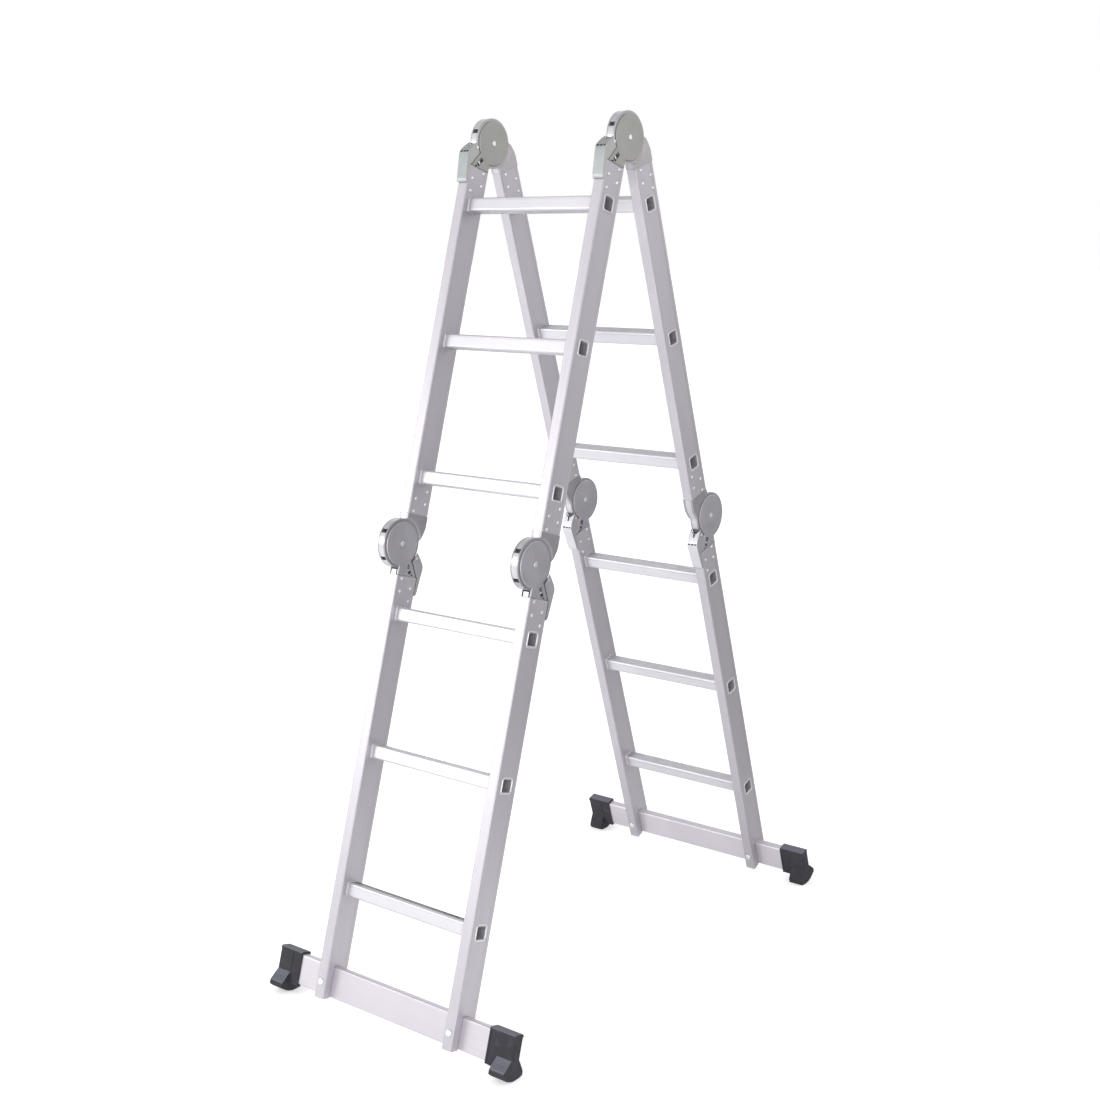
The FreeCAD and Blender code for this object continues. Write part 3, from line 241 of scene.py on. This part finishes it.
def plated(name, turn, light, dark, rough=0.38, metal=0.72, sides=None):
    """Satin zinc plate over pressed steel: fine spangle, soft orange peel, small
    rub marks, dirt and painted shade in the corners and bright rubbed edges.
    The side tones, if given, are another light and dark pair painted on the
    flanges, whose faces look along the hinge axis: painted light and shade that
    follow which way a face looks."""
    m = Material(name, turn)
    where = m.mapped()
    spangle = m.new("TexVoronoi", feature="SMOOTH_F1")
    m.put(spangle.inputs["Vector"], where)
    spangle.inputs["Scale"].default_value = 420.0
    cells = spangle.outputs["Distance"]
    peel = m.noise(where, scale=260.0, detail=3.0, rough=0.55)
    broad = m.noise(where, scale=18.0, detail=4.0, rough=0.6, distortion=0.4)
    rub = m.noise(m.mapped((50, 150, 50)), detail=5.0, rough=0.7, distortion=0.8)
    rub = m.spread(rub, lo=0.60, hi=0.72)
    colour = m.blend(m.spread(broad, lo=0.32, hi=0.68), dark, light)
    # painted light and shade: faces that look along the hinge axis take the side tones
    if sides is not None:
        painted_side_light, painted_side_dark = sides
        along = m.split(m.new("NewGeometry").outputs["True Normal"])
        flange = m.spread(m.calc("ABSOLUTE", along["X"]), lo=0.55, hi=0.85)
        painted_side_colour = m.blend(m.spread(broad, lo=0.32, hi=0.68), painted_side_dark, painted_side_light)
        colour = m.blend(flange, colour, painted_side_colour)
    spangled = m.spread(cells, lo=0.0, hi=0.7)
    colour = m.overlay(colour, spangled, strength=0.10, tint=shade(dark, by=0.7))
    rounded = m.soft_edge(radius=0.0005)
    edges = m.edge_mask(rounded)
    patches = m.spread(m.noise(where, scale=120.0, detail=4.0), lo=0.34, hi=0.60)
    worn = m.calc("MULTIPLY", edges, patches)
    colour = m.overlay(colour, rub, strength=0.18, tint=shade(light, by=1.22))
    colour = m.overlay(colour, worn, strength=0.7, tint=shade(light, by=1.5))
    # dirt and painted shade: darker and rougher where other surfaces come within reach, in corners
    # and gaps
    dirt_and_painted_shade = m.crevices(reach=0.006, lo=0.25, hi=0.85)
    colour = m.overlay(colour, dirt_and_painted_shade, strength=0.62, tint=shade(dark, by=0.26))
    m.set("Base Color", colour)
    m.set("Metallic", metal)
    roughness = m.shifted(rough, m.calc("SUBTRACT", broad, 0.5), by=0.25)
    roughness = m.shifted(roughness, worn, by=0.10, operation="SUBTRACT")
    roughness = m.shifted(roughness, dirt_and_painted_shade, by=0.25, clamp=True)
    m.set("Roughness", roughness)
    m.set("Normal", m.bump(peel, strength=0.18, distance=0.00025, normal=rounded))
    return m.material


def rubber(name, turn, base, chalk_and_top_light):
    """Moulded rubber: fine pitted skin, chalky rubbed edges, dust, and painted light on the faces
    that look up.
    """
    m = Material(name, turn)
    where = m.mapped()
    pits = m.noise(where, scale=1500.0, detail=3.0, rough=0.6)
    skin = m.noise(where, scale=380.0, detail=4.0, rough=0.6)
    broad = m.noise(where, scale=26.0, detail=4.0, rough=0.6, distortion=0.3)
    colour = m.blend(m.spread(broad, lo=0.3, hi=0.72), base, shade(base, by=1.35))
    rounded = m.soft_edge(radius=0.0007)
    edges = m.edge_mask(rounded)
    patches = m.spread(m.noise(where, scale=90.0, detail=5.0), lo=0.36, hi=0.62)
    worn = m.calc("MULTIPLY", edges, patches)
    colour = m.overlay(colour, worn, strength=0.40, tint=chalk_and_top_light)
    dust = m.noise(where, scale=60.0, detail=6.0, rough=0.7, distortion=0.8)
    colour = m.overlay(colour, m.spread(dust, lo=0.54, hi=0.74), strength=0.20, tint=chalk_and_top_light)
    # painted light from above: the faces that look up are blended towards the pale tone
    up = m.split(m.new("NewGeometry").outputs["Normal"])
    colour = m.overlay(colour, m.spread(up["Z"], lo=0.45, hi=0.70), strength=0.75, tint=chalk_and_top_light)
    m.set("Base Color", colour)
    m.set("Metallic", 0.0)
    m.set("Roughness", m.shifted(0.56, skin, by=0.28, clamp=True))
    m.set("Specular IOR Level", 0.15)
    height = m.calc("ADD", m.scaled(pits, by=0.5), skin)
    m.set("Normal", m.bump(height, strength=0.35, distance=0.0003, normal=rounded))
    return m.material


def bright(name, turn, light, dark, rough):
    """Zinc plated fasteners and wire."""
    m = Material(name, turn)
    where = m.mapped()
    fine = m.noise(where, scale=700.0, detail=3.0, rough=0.6)
    broad = m.noise(where, scale=45.0, detail=4.0, rough=0.6)
    colour = m.blend(m.spread(broad, lo=0.32, hi=0.7), dark, light)
    spots = m.spread(m.noise(where, scale=300.0, detail=4.0, rough=0.7), lo=0.64, hi=0.74)
    colour = m.overlay(colour, spots, strength=0.35, tint=shade(dark, by=0.5))
    m.set("Base Color", colour)
    m.set("Metallic", 0.9)
    m.set("Roughness", m.shifted(rough, broad, by=0.18, clamp=True))
    m.set("Normal", m.bump(fine, strength=0.12, distance=0.0001))
    return m.material


def leg_materials(tag, turn, rail_gain):
    """All materials of one leg by slot; rail_gain brightens its rail."""

    def make(kind, name, first, second, **settings):
        """The two tones are 0-255 sRGB: light, dark (for rubber: base, and the pale tone of the
        chalky wear, the dust and the painted light on faces that look up).
        """
        return kind(name + "_" + tag, turn, srgb(*first), srgb(*second), **settings)

    rail_light, rail_dark = (
        tuple(rail_gain * channel for channel in tone)
        for tone in ((212, 208, 214), (202, 198, 205))
    )
    return {
        "extruded_aluminium": make(
            aluminium, "stile_aluminium", (197, 194, 200), (187, 184, 190)
        ),
        # the longer reach paints shade deep inside the rung tubes
        "tread_aluminium": make(
            aluminium, "tread_aluminium", (214, 213, 217), (204, 203, 208),
            rough=0.38, metal=0.62, lines=LINES_ACROSS, reach=0.022,
        ),
        "rail_aluminium": make(
            aluminium, "rail_aluminium", rail_light, rail_dark,
            rough=0.40, metal=0.66, lines=LINES_ACROSS,
        ),
        "foot_rubber": make(rubber, "foot_rubber", (54, 54, 59), (118, 120, 130)),
        "zinc_fasteners": make(
            bright, "zinc_fasteners", (246, 246, 248), (226, 227, 230), rough=0.18
        ),
        "spring_steel": make(bright, "spring_wire", (150, 150, 154), (112, 112, 116), rough=0.3),
        # the lever's second pair of tones is painted light on its flanges
        "lever_steel": make(
            plated, "lever_steel", (168, 173, 173), (152, 157, 158),
            rough=0.42, metal=0.7, sides=(srgb(190, 190, 186), srgb(178, 178, 173)),
        ),
        # the middle lever's second pair of tones is painted shade on its flanges
        "middle_lever": make(
            plated, "middle_lever", (214, 213, 218), (202, 201, 206),
            rough=0.36, metal=0.66, sides=(srgb(182, 181, 186), srgb(170, 169, 174)),
        ),
        "core_steel": make(
            plated, "core_steel", (206, 206, 209), (188, 188, 192), rough=0.33, metal=0.8
        ),
        "hinge_steel": make(plated, "hinge_steel", (182, 181, 186), (170, 169, 174)),
        "top_hinge_steel": make(plated, "top_hinge_steel", (169, 169, 165), (157, 157, 152)),
        "arm_steel": make(plated, "arm_steel", (187, 185, 187), (175, 173, 176)),
        "side_plate_steel": make(plated, "side_plate_steel", (168, 166, 170), (156, 153, 158)),
    }


MATERIALS = {
    "front": leg_materials("front", turn=LEAN, rail_gain=1.0),
    "rear": leg_materials("rear", turn=-LEAN, rail_gain=1.05),
}


def dress(name, obj):
    """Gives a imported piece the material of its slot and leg."""
    # at the top hinges the side plates and notched plates belong to the rear leg
    rear = name.startswith("rear") or (name.startswith("top") and name.endswith("_plates"))
    slot = obj.data.materials[0].name.split(".")[0] if obj.data.materials else "extruded_aluminium"
    if "_middle_" in name and name.endswith("_lever"):
        slot = "middle_lever"
    for material_slot in obj.material_slots:
        material_slot.link = "OBJECT"
        material_slot.material = MATERIALS["rear" if rear else "front"][slot]
    obj["slot"] = slot


for node_name, node in nodes.items():
    dress(node_name, node)


# ---------------------------------------------------------------- mesh pieces
def join_rings(ring_a, ring_b):
    """A closed solid between two rings of (x, y, z) points."""
    bm = bmesh.new()
    a = [bm.verts.new(point) for point in ring_a]
    b = [bm.verts.new(point) for point in ring_b]
    bm.faces.new(a)
    bm.faces.new(list(reversed(b)))
    for i in range(len(a)):
        j = (i + 1) % len(a)
        bm.faces.new((a[j], a[i], b[i], b[j]))
    bmesh.ops.recalc_face_normals(bm, faces=bm.faces)
    return bm


def solid_prism(points, span):
    """A closed prism of a (y, z) outline over a span of x."""
    return join_rings(*([(x, y, z) for y, z in points] for x in span))


def disc(centre_y, centre_z, radius, steps=20):
    angles = [2 * math.pi * k / steps for k in range(steps)]
    return [(centre_y + radius * math.cos(a), centre_z + radius * math.sin(a)) for a in angles]


def to_object(name, bm):
    mesh = bpy.data.meshes.new(name)
    bm.to_mesh(mesh)
    bm.free()
    obj = bpy.data.objects.new(name, mesh)
    bpy.context.scene.collection.objects.link(obj)
    return obj


def apply_modifiers(obj):
    bpy.context.view_layer.update()
    depsgraph = bpy.context.evaluated_depsgraph_get()
    mesh = bpy.data.meshes.new_from_object(obj.evaluated_get(depsgraph), depsgraph=depsgraph)
    obj.modifiers.clear()
    old = obj.data
    obj.data = mesh
    bpy.data.meshes.remove(old)


def carve(base, parts):
    """Adds and cuts closed solids: parts holds (bmesh, "UNION" or "DIFFERENCE")."""
    helpers = []
    for i, (bm, operation) in enumerate(parts):
        helper = to_object("%s_tool_%d" % (base.name, i), bm)
        boolean = base.modifiers.new("b%d" % i, "BOOLEAN")
        boolean.operation = operation
        boolean.solver = "EXACT"
        boolean.object = helper
        helpers.append(helper)
    apply_modifiers(base)
    for helper in helpers:
        mesh = helper.data
        bpy.data.objects.remove(helper)
        bpy.data.meshes.remove(mesh)


def settle(obj, weld=0.01, flat=0.02):
    """Joins points closer than weld and dissolves seams bent less than flat radians."""
    bm = bmesh.new()
    bm.from_mesh(obj.data)
    bmesh.ops.remove_doubles(bm, verts=bm.verts, dist=weld)
    bmesh.ops.dissolve_limit(
        bm, angle_limit=flat, verts=bm.verts, edges=bm.edges, use_dissolve_boundaries=False
    )
    bmesh.ops.recalc_face_normals(bm, faces=bm.faces)
    bm.to_mesh(obj.data)
    bm.free()


def add_bevel(obj, width, segments, angle):
    """Rounds edges bent more than the angle in degrees."""
    bevel = obj.modifiers.new("round", "BEVEL")
    bevel.width = width
    bevel.segments = segments
    bevel.limit_method = "ANGLE"
    bevel.angle_limit = math.radians(angle)
    bevel.use_clamp_overlap = True
    return bevel


def even_normals(obj):
    """Smooth shading that keeps the large faces flat."""
    for polygon in obj.data.polygons:
        polygon.use_smooth = True
    weighted = obj.modifiers.new("even_normals", "WEIGHTED_NORMAL")
    weighted.mode = "FACE_AREA"
    weighted.weight = 60
    weighted.keep_sharp = True


def crisp_edges(obj, angle=20.0):
    """Keeps shading from running round any corner sharper than the angle."""
    bm = bmesh.new()
    bm.from_mesh(obj.data)
    for edge in bm.edges:
        edge.smooth = (
            len(edge.link_faces) == 2 and edge.calc_face_angle(0.0) < math.radians(angle)
        )
    bm.to_mesh(obj.data)
    bm.free()


# ----------------------------------------------------------------------- feet
# The front right foot caps the end of the cross rail. It is drawn in the front
# leg's frame in mm: its mouth faces -x, and the outside of the ladder is -y.
MID_Y = -30.5
CAP_TOP = 1694.0  # depths below the top hinge axis
CAP_BOTTOM = 1765.0
CAP_MID_Z = -(CAP_TOP + CAP_BOTTOM) / 2
CAP_HEIGHT = CAP_BOTTOM - CAP_TOP
CAP_WIDTH = 22.1
HALF_WIDTH = 11.75  # of the thicker, outer part of the cap
END_Z = -1730.0
RAIL_BOTTOM = 1760.0
RAIL_HALF_HEIGHT = 31.0

# spans of x, from the mouth towards the outer end
CAP_X = (250.0, 277.0)
THICK_CAP_X = (274.8, 309.3)
HOOD_X = (250.0, 310.0)
LIP_X = (249.9, 253.4)
PAD_X = (275.0, 309.6)
END_PLATE_X = (309.0, 310.0)
SOCKET_X = (240.0, 306.06)
HOLE_X = (307.6, 312.0)
SLOT_X = (273.0, 274.9)
GROOVE_X = (277.5, 307.0)

# hood along the top, -y side: y, z going up
HOOD_SIDE = [
    (MID_Y - HALF_WIDTH - 0.7, -1699.6),
    (MID_Y - HALF_WIDTH - 0.9, -1698.6),
    (MID_Y - HALF_WIDTH - 0.9, -1696.2),
    (MID_Y - HALF_WIDTH + 1.6, -1693.6),
]

# each wedge slopes from its top to its toe: distance from MID_Y, depth
WEDGE_TOP = (17.25, 1748.0)
WEDGE_TOE = (28.2, 1762.6)

# side of the flared pad, -y side: y, z going down
SKIRT = [
    (MID_Y - HALF_WIDTH + 0.5, -1740.0),
    (MID_Y - HALF_WIDTH - 0.4, -1742.0),
    (MID_Y - WEDGE_TOP[0], -WEDGE_TOP[1]),
    (MID_Y - WEDGE_TOE[0], -WEDGE_TOE[1]),
    (MID_Y - 29.1, -1765.4),
]

# toothed sole: arcs about one centre, from y = -SOLE_START to y = -SOLE_END
SOLE_RADIUS = 52.1
SOLE_NOTCH_RADIUS = 50.9
SOLE_CENTRE = 1781.0 - SOLE_RADIUS
SOLE_START = 1.2
SOLE_END = 59.8
SOLE_STEPS = 2 * 26
FLOOR_GAP = 0.02

HOLE_RADIUS = 1.9
HOLES = [(-34.0, -1712.0), (-34.0, -1740.0)]  # y, z
SLOT_OFFSET = 10.6  # from MID_Y
SLOT_DEPTH = 3
SLOT_TOP_Z, SLOT_BOTTOM_Z = -1704.0, -1738.0
GROOVE_PLACES = (0.30, 0.52, 0.74)  # along the wedge from its top
GROOVE_HALF_WIDTH = 0.55
GROOVE_DEPTH = 0.6
GROOVE_CLEARANCE = 1.0

# lower corner at the mouth, cut at a slant: x, z
CORNER_CUT = [(246.0, -1762.0), (275.4, -1766.6), (275.0, -1790.0), (246.0, -1790.0)]
CORNER_CUT_HALF_WIDTH = 40


def round_rect(centre_z, width, height, radius, steps=5):
    """A rounded rectangle of (y, z) points centred on MID_Y."""
    points = []
    for side_y, side_z, start in ((1, 1, 0), (-1, 1, 90), (-1, -1, 180), (1, -1, 270)):
        corner_y = MID_Y + side_y * (width / 2 - radius)
        corner_z = centre_z + side_z * (height / 2 - radius)
        for k in range(steps + 1):
            angle = math.radians(start + 90.0 * k / steps)
            points.append(
                (corner_y + radius * math.cos(angle), corner_z + radius * math.sin(angle))
            )
    return points


def opposite(points):
    """The outline mirrored about MID_Y."""
    return [(2 * MID_Y - y, z) for y, z in points]


def level_cut(points, floor_z, slope):
    """Keeps the part of a (y, z) outline above the floor line z = floor_z + slope * y."""
    kept = []
    for i, (y, z) in enumerate(points):
        last_y, last_z = points[i - 1]
        here = z - (floor_z + slope * y)
        last = last_z - (floor_z + slope * last_y)
        if (here >= 0) != (last >= 0):
            t = last / (last - here)
            kept.append((last_y + (y - last_y) * t, last_z + (z - last_z) * t))
        if here >= 0:
            kept.append((y, z))
    return kept


def pad_outline():
    """Flared pad with a toothed curved sole, cut level where it meets the floor."""
    sole = []
    for k in range(SOLE_STEPS + 1):
        out = SOLE_START + (SOLE_END - SOLE_START) * k / SOLE_STEPS
        radius = SOLE_RADIUS if (k // 2) % 2 == 0 else SOLE_NOTCH_RADIUS
        reach = math.sqrt(radius * radius - (out + MID_Y) ** 2)
        sole.append((-out, -(SOLE_CENTRE + reach)))
    outline = opposite(SKIRT) + sole + SKIRT[::-1]
    floor_z = -HEIGHT * 1000.0 / math.cos(LEAN)
    return level_cut(outline, floor_z + FLOOR_GAP, math.tan(LEAN))


def corner_cutter():
    return join_rings(*(
        [(x, MID_Y + y, z) for x, z in CORNER_CUT]
        for y in (-CORNER_CUT_HALF_WIDTH, CORNER_CUT_HALF_WIDTH)
    ))


def slot_outline(side):
    near = MID_Y + side * SLOT_OFFSET
    far = near + side * SLOT_DEPTH
    points = [(near, SLOT_TOP_Z), (far, SLOT_TOP_Z), (far, SLOT_BOTTOM_Z), (near, SLOT_BOTTOM_Z)]
    # both sides wind the same way
    return points if side < 0 else points[:1] + points[:0:-1]


def groove_outline(side, place):
    """A groove cut square into the wedge's slope, a 3-4-5 one."""
    centre_y = MID_Y + side * (WEDGE_TOP[0] + (WEDGE_TOE[0] - WEDGE_TOP[0]) * place)
    centre_z = -(WEDGE_TOP[1] + (WEDGE_TOE[1] - WEDGE_TOP[1]) * place)
    out_y, out_z = side * 0.8, 0.6
    down_y, down_z = side * 0.6, -0.8
    corners = (
        (-GROOVE_HALF_WIDTH, GROOVE_CLEARANCE),
        (-GROOVE_HALF_WIDTH, -GROOVE_DEPTH),
        (GROOVE_HALF_WIDTH, -GROOVE_DEPTH),
        (GROOVE_HALF_WIDTH, GROOVE_CLEARANCE),
    )
    return [
        (centre_y + down_y * down + out_y * out, centre_z + down_z * down + out_z * out)
        for down, out in corners
    ]


def foot_mesh(name):
    """A moulded cap with a hooded top edge, a lipped mouth, two wedge-shaped
    pads and a toothed curved sole with a level facet."""
    width = 2 * HALF_WIDTH
    cap = round_rect(CAP_MID_Z, CAP_WIDTH, CAP_HEIGHT, radius=3.0)
    thick_cap = round_rect(CAP_MID_Z, width, CAP_HEIGHT, radius=3.0)
    hood = HOOD_SIDE + opposite(HOOD_SIDE)[::-1]
    lip = round_rect(CAP_MID_Z - 0.2, width + 0.6, CAP_HEIGHT + 0.6, radius=3.2)
    # a little smaller all round, so the end reads as a moulded face
    end_plate = round_rect(END_Z, width - 4.4, height=60.0, radius=2.4)
    socket = round_rect(RAIL_HALF_HEIGHT - RAIL_BOTTOM, width=18.14, height=62.14, radius=3.5)

    foot = to_object(name, solid_prism(cap, CAP_X))
    parts = [
        (solid_prism(thick_cap, THICK_CAP_X), "UNION"),
        (solid_prism(hood, HOOD_X), "UNION"),
        (solid_prism(lip, LIP_X), "UNION"),
        (solid_prism(pad_outline(), PAD_X), "UNION"),
        (solid_prism(end_plate, END_PLATE_X), "UNION"),
        (solid_prism(socket, SOCKET_X), "DIFFERENCE"),
        (corner_cutter(), "DIFFERENCE"),
    ]
    # vent holes in the end face
    for y, z in HOLES:
        parts.append((solid_prism(disc(y, z, HOLE_RADIUS), HOLE_X), "DIFFERENCE"))
    # narrow upright slot in each face beside the cap's step
    for side in (1, -1):
        parts.append((solid_prism(slot_outline(side), SLOT_X), "DIFFERENCE"))
    # shallow grip grooves across each wedge
    for side in (1, -1):
        for place in GROOVE_PLACES:
            parts.append((solid_prism(groove_outline(side, place), GROOVE_X), "DIFFERENCE"))
    carve(foot, parts)
    settle(foot)
    add_bevel(foot, width=0.45, segments=2, angle=28.0)
    apply_modifiers(foot)
    return foot


def mirrored_copy(source, name, flip_x, flip_y):
    obj = bpy.data.objects.new(name, source.data.copy())
    obj.data.name = name
    bpy.context.scene.collection.objects.link(obj)
    obj.data.transform(Matrix.Diagonal((-1 if flip_x else 1, -1 if flip_y else 1, 1, 1)))
    if flip_x != flip_y:
        obj.data.flip_normals()
    return obj


master = foot_mesh("rubber_foot_front_right")
master.data.transform(FRONT_LEG @ Matrix.Scale(0.001, 4))
feet = {"front_right": master}
for corner, flip_x, flip_y in (
    ("front_left", True, False),
    ("rear_right", False, True),
    ("rear_left", True, True),
):
    feet[corner] = mirrored_copy(master, "rubber_foot_" + corner, flip_x, flip_y)

for corner, foot in feet.items():
    leg = corner.split("_")[0]
    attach(foot, leg + "_lower_section")
    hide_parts(corner + "_foot")
    foot.data.materials.clear()
    foot.data.materials.append(MATERIALS[leg]["foot_rubber"])
    crisp_edges(foot)
    even_normals(foot)


# -------------------------------------------------------------- rounded edges
# The carried-over pressings and tubes get small rounded edges on top of the
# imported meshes, which stay as they are: name ending, bevel width, segments.
ROUNDED = (
    ("_lever", 0.00045, 2),
    ("_hinge_covers", 0.00035, 2),
    ("_side_plates", 0.00035, 2),
    ("_notched_plates", 0.00035, 2),
    ("_stile", 0.0003, 2),
    ("_rungs", 0.00018, 1),
    ("_bar", 0.0003, 2),
)


def round_edges(obj, width, segments):
    weld = obj.modifiers.new("join", "WELD")
    weld.merge_threshold = 0.000004
    flatten = obj.modifiers.new("flatten", "DECIMATE")
    flatten.decimate_type = "DISSOLVE"
    flatten.angle_limit = math.radians(0.8)
    flatten.use_dissolve_boundaries = False
    bevel = add_bevel(obj, width, segments, angle=34.0)
    bevel.miter_outer = "MITER_ARC"
    even_normals(obj)


for node_name in sorted(nodes):
    for ending, width, segments in ROUNDED:
        if node_name.endswith(ending):
            round_edges(nodes[node_name], width, segments)


# --------------------------------------------------------------------- studio
scene = bpy.context.scene


def floor_material():
    m = Material("pale_floor")
    patch = m.noise(m.mapped(), scale=2.0, detail=3.0)
    patches = m.spread(patch, lo=0.3, hi=0.7)
    pale = m.blend(patches, (0.93, 0.93, 0.935), (0.96, 0.96, 0.96))
    m.set("Roughness", 0.9)
    m.set("Specular IOR Level", 0.1)
    # seen directly, the floor carries on into the pale backdrop with no horizon;
    # to all other rays it is painted darker beyond the ladder, to the right and
    # behind: a painted shade for the metal to mirror
    seen = m.new("LightPath").outputs["Is Camera Ray"]
    place = m.split(m.object_place)
    away = m.shifted(m.scaled(place["X"], by=0.6), place["Y"], by=0.79)
    near_fade = m.spread(away, lo=-0.15, hi=1.7)
    far_fade = m.spread(away, lo=3.0, hi=12.0, to_lo=1.0, to_hi=0.3)
    dim = m.calc("MULTIPLY", near_fade, far_fade)
    left_fade = m.spread(place["X"], lo=-0.5, hi=0.4, to_lo=0.2, to_hi=1.0)
    dim = m.calc("MULTIPLY", dim, left_fade)
    shaded = m.overlay(pale, dim, strength=0.78, tint=(0.30, 0.295, 0.305))
    m.set("Base Color", m.blend(seen, shaded, pale))
    m.set("Emission Color", (1.0, 1.0, 1.0, 1.0))
    # a painted glow on the near left part of the floor, which lights the ladder though it is no
    # lamp
    painted_glow = m.spread(away, lo=-1.4, hi=0.9, to_lo=0.40, to_hi=0.0)
    m.set("Emission Strength", m.calc("MAXIMUM", m.scaled(seen, by=0.36), painted_glow))
    return m.material


def build_floor():
    mesh = bpy.data.meshes.new("floor")
    bm = bmesh.new()
    bmesh.ops.create_grid(bm, x_segments=2, y_segments=2, size=40.0)
    bm.to_mesh(mesh)
    bm.free()
    floor = bpy.data.objects.new("floor", mesh)
    scene.collection.objects.link(floor)
    mesh.materials.append(floor_material())


def build_world():
    """White to the camera; a soft graded surround to everything else."""
    world = bpy.data.worlds.new("studio")
    scene.world = world
    world.use_nodes = True
    w = Nodes(world.node_tree)
    output = w.new("OutputWorld")
    mix = w.new("MixShader")
    path = w.new("LightPath")
    seen = w.new("Background")
    w.put(seen.inputs["Color"], (1, 1, 1, 1))
    lit = w.new("Background")
    direction = w.new("TexCoord").outputs["Generated"]
    height = w.split(direction)["Z"]
    # a little brighter towards the front left and the rear right than between them
    dot = w.new("VectorMath", operation="DOT_PRODUCT")
    w.put(dot.inputs[0], direction)
    w.put(dot.inputs[1], Vector((-0.60, -0.79, 0.05)).normalized())
    ramp = w.new("ValToRGB")
    w.put(ramp.inputs[0], w.spread(dot.outputs["Value"], lo=-1.0, hi=1.0))
    stops = ramp.color_ramp.elements
    stops[0].position, stops[0].color = 0.0, (1.20, 1.19, 1.21, 1)
    stops[1].position, stops[1].color = 1.0, (1.14, 1.13, 1.15, 1)
    stops.new(0.5).color = (0.98, 0.97, 0.99, 1)
    w.put(lit.inputs["Color"], ramp.outputs[0])
    # softer low down and overhead
    rise = w.spread(height, lo=0.02, hi=0.38, to_lo=0.77, to_hi=1.24)
    fall = w.spread(height, lo=0.42, hi=0.88, to_lo=1.0, to_hi=0.42)
    w.put(lit.inputs["Strength"], w.calc("MULTIPLY", rise, fall))
    w.put(mix.inputs[0], path.outputs["Is Camera Ray"])
    w.put(mix.inputs[1], lit.outputs[0])
    w.put(mix.inputs[2], seen.outputs[0])
    w.put(output.inputs["Surface"], mix.outputs[0])


def area(name, where, to, size, power, colour=(1, 1, 1)):
    data = bpy.data.lights.new(name, "AREA")
    data.shape = "RECTANGLE"
    data.size, data.size_y = size
    data.energy = power
    data.color = colour
    light = bpy.data.objects.new(name, data)
    scene.collection.objects.link(light)
    light.location = where
    light.rotation_mode = "QUATERNION"
    light.rotation_quaternion = (Vector(to) - Vector(where)).to_track_quat("-Z", "Y")


build_floor()
build_world()
area("key", where=(-2.5, -3.3, 1.68), to=(0, -0.2, 0.95), size=(2.0, 0.9), power=34,
     colour=(1.0, 0.99, 0.99))
area("edge", where=(2.1, -3.1, 1.25), to=(0, 0, 0.95), size=(1.5, 2.0), power=22)
area("top", where=(0.0, -0.6, 4.6), to=(0, 0, 0.6), size=(3.0, 3.0), power=9)

scene.view_settings.view_transform = "Standard"
scene.view_settings.look = "None"
scene.view_settings.exposure = 0.0
scene.view_settings.gamma = 1.0

# --------------------------------------------------------------------- camera
# azimuth from the front towards the right, elevation, and roll about the view
AZIMUTH = math.radians(37.996)
ELEVATION = math.radians(12.459)
ROLL = math.radians(-0.585)
CAMERA_PLACE = (1.97756, -2.56238, HEIGHT - 0.14992)


def build_camera():
    back = Vector((
        math.sin(AZIMUTH) * math.cos(ELEVATION),
        -math.cos(AZIMUTH) * math.cos(ELEVATION),
        math.sin(ELEVATION),
    ))
    level = Vector((0, 0, 1)).cross(back).normalized()
    upright = back.cross(level)
    right = level * math.cos(ROLL) + upright * math.sin(ROLL)
    up = -level * math.sin(ROLL) + upright * math.cos(ROLL)
    data = bpy.data.cameras.new("camera")
    data.sensor_fit = "HORIZONTAL"
    data.sensor_width = 36.0
    data.lens = 51.52909091
    data.shift_y = 0.01454545455
    data.clip_start, data.clip_end = 0.05, 200.0
    camera = bpy.data.objects.new("camera", data)
    scene.collection.objects.link(camera)
    rows = [(*axes, place) for *axes, place in zip(right, up, back, CAMERA_PLACE)]
    camera.matrix_world = Matrix((*rows, (0, 0, 0, 1)))
    scene.camera = camera


build_camera()
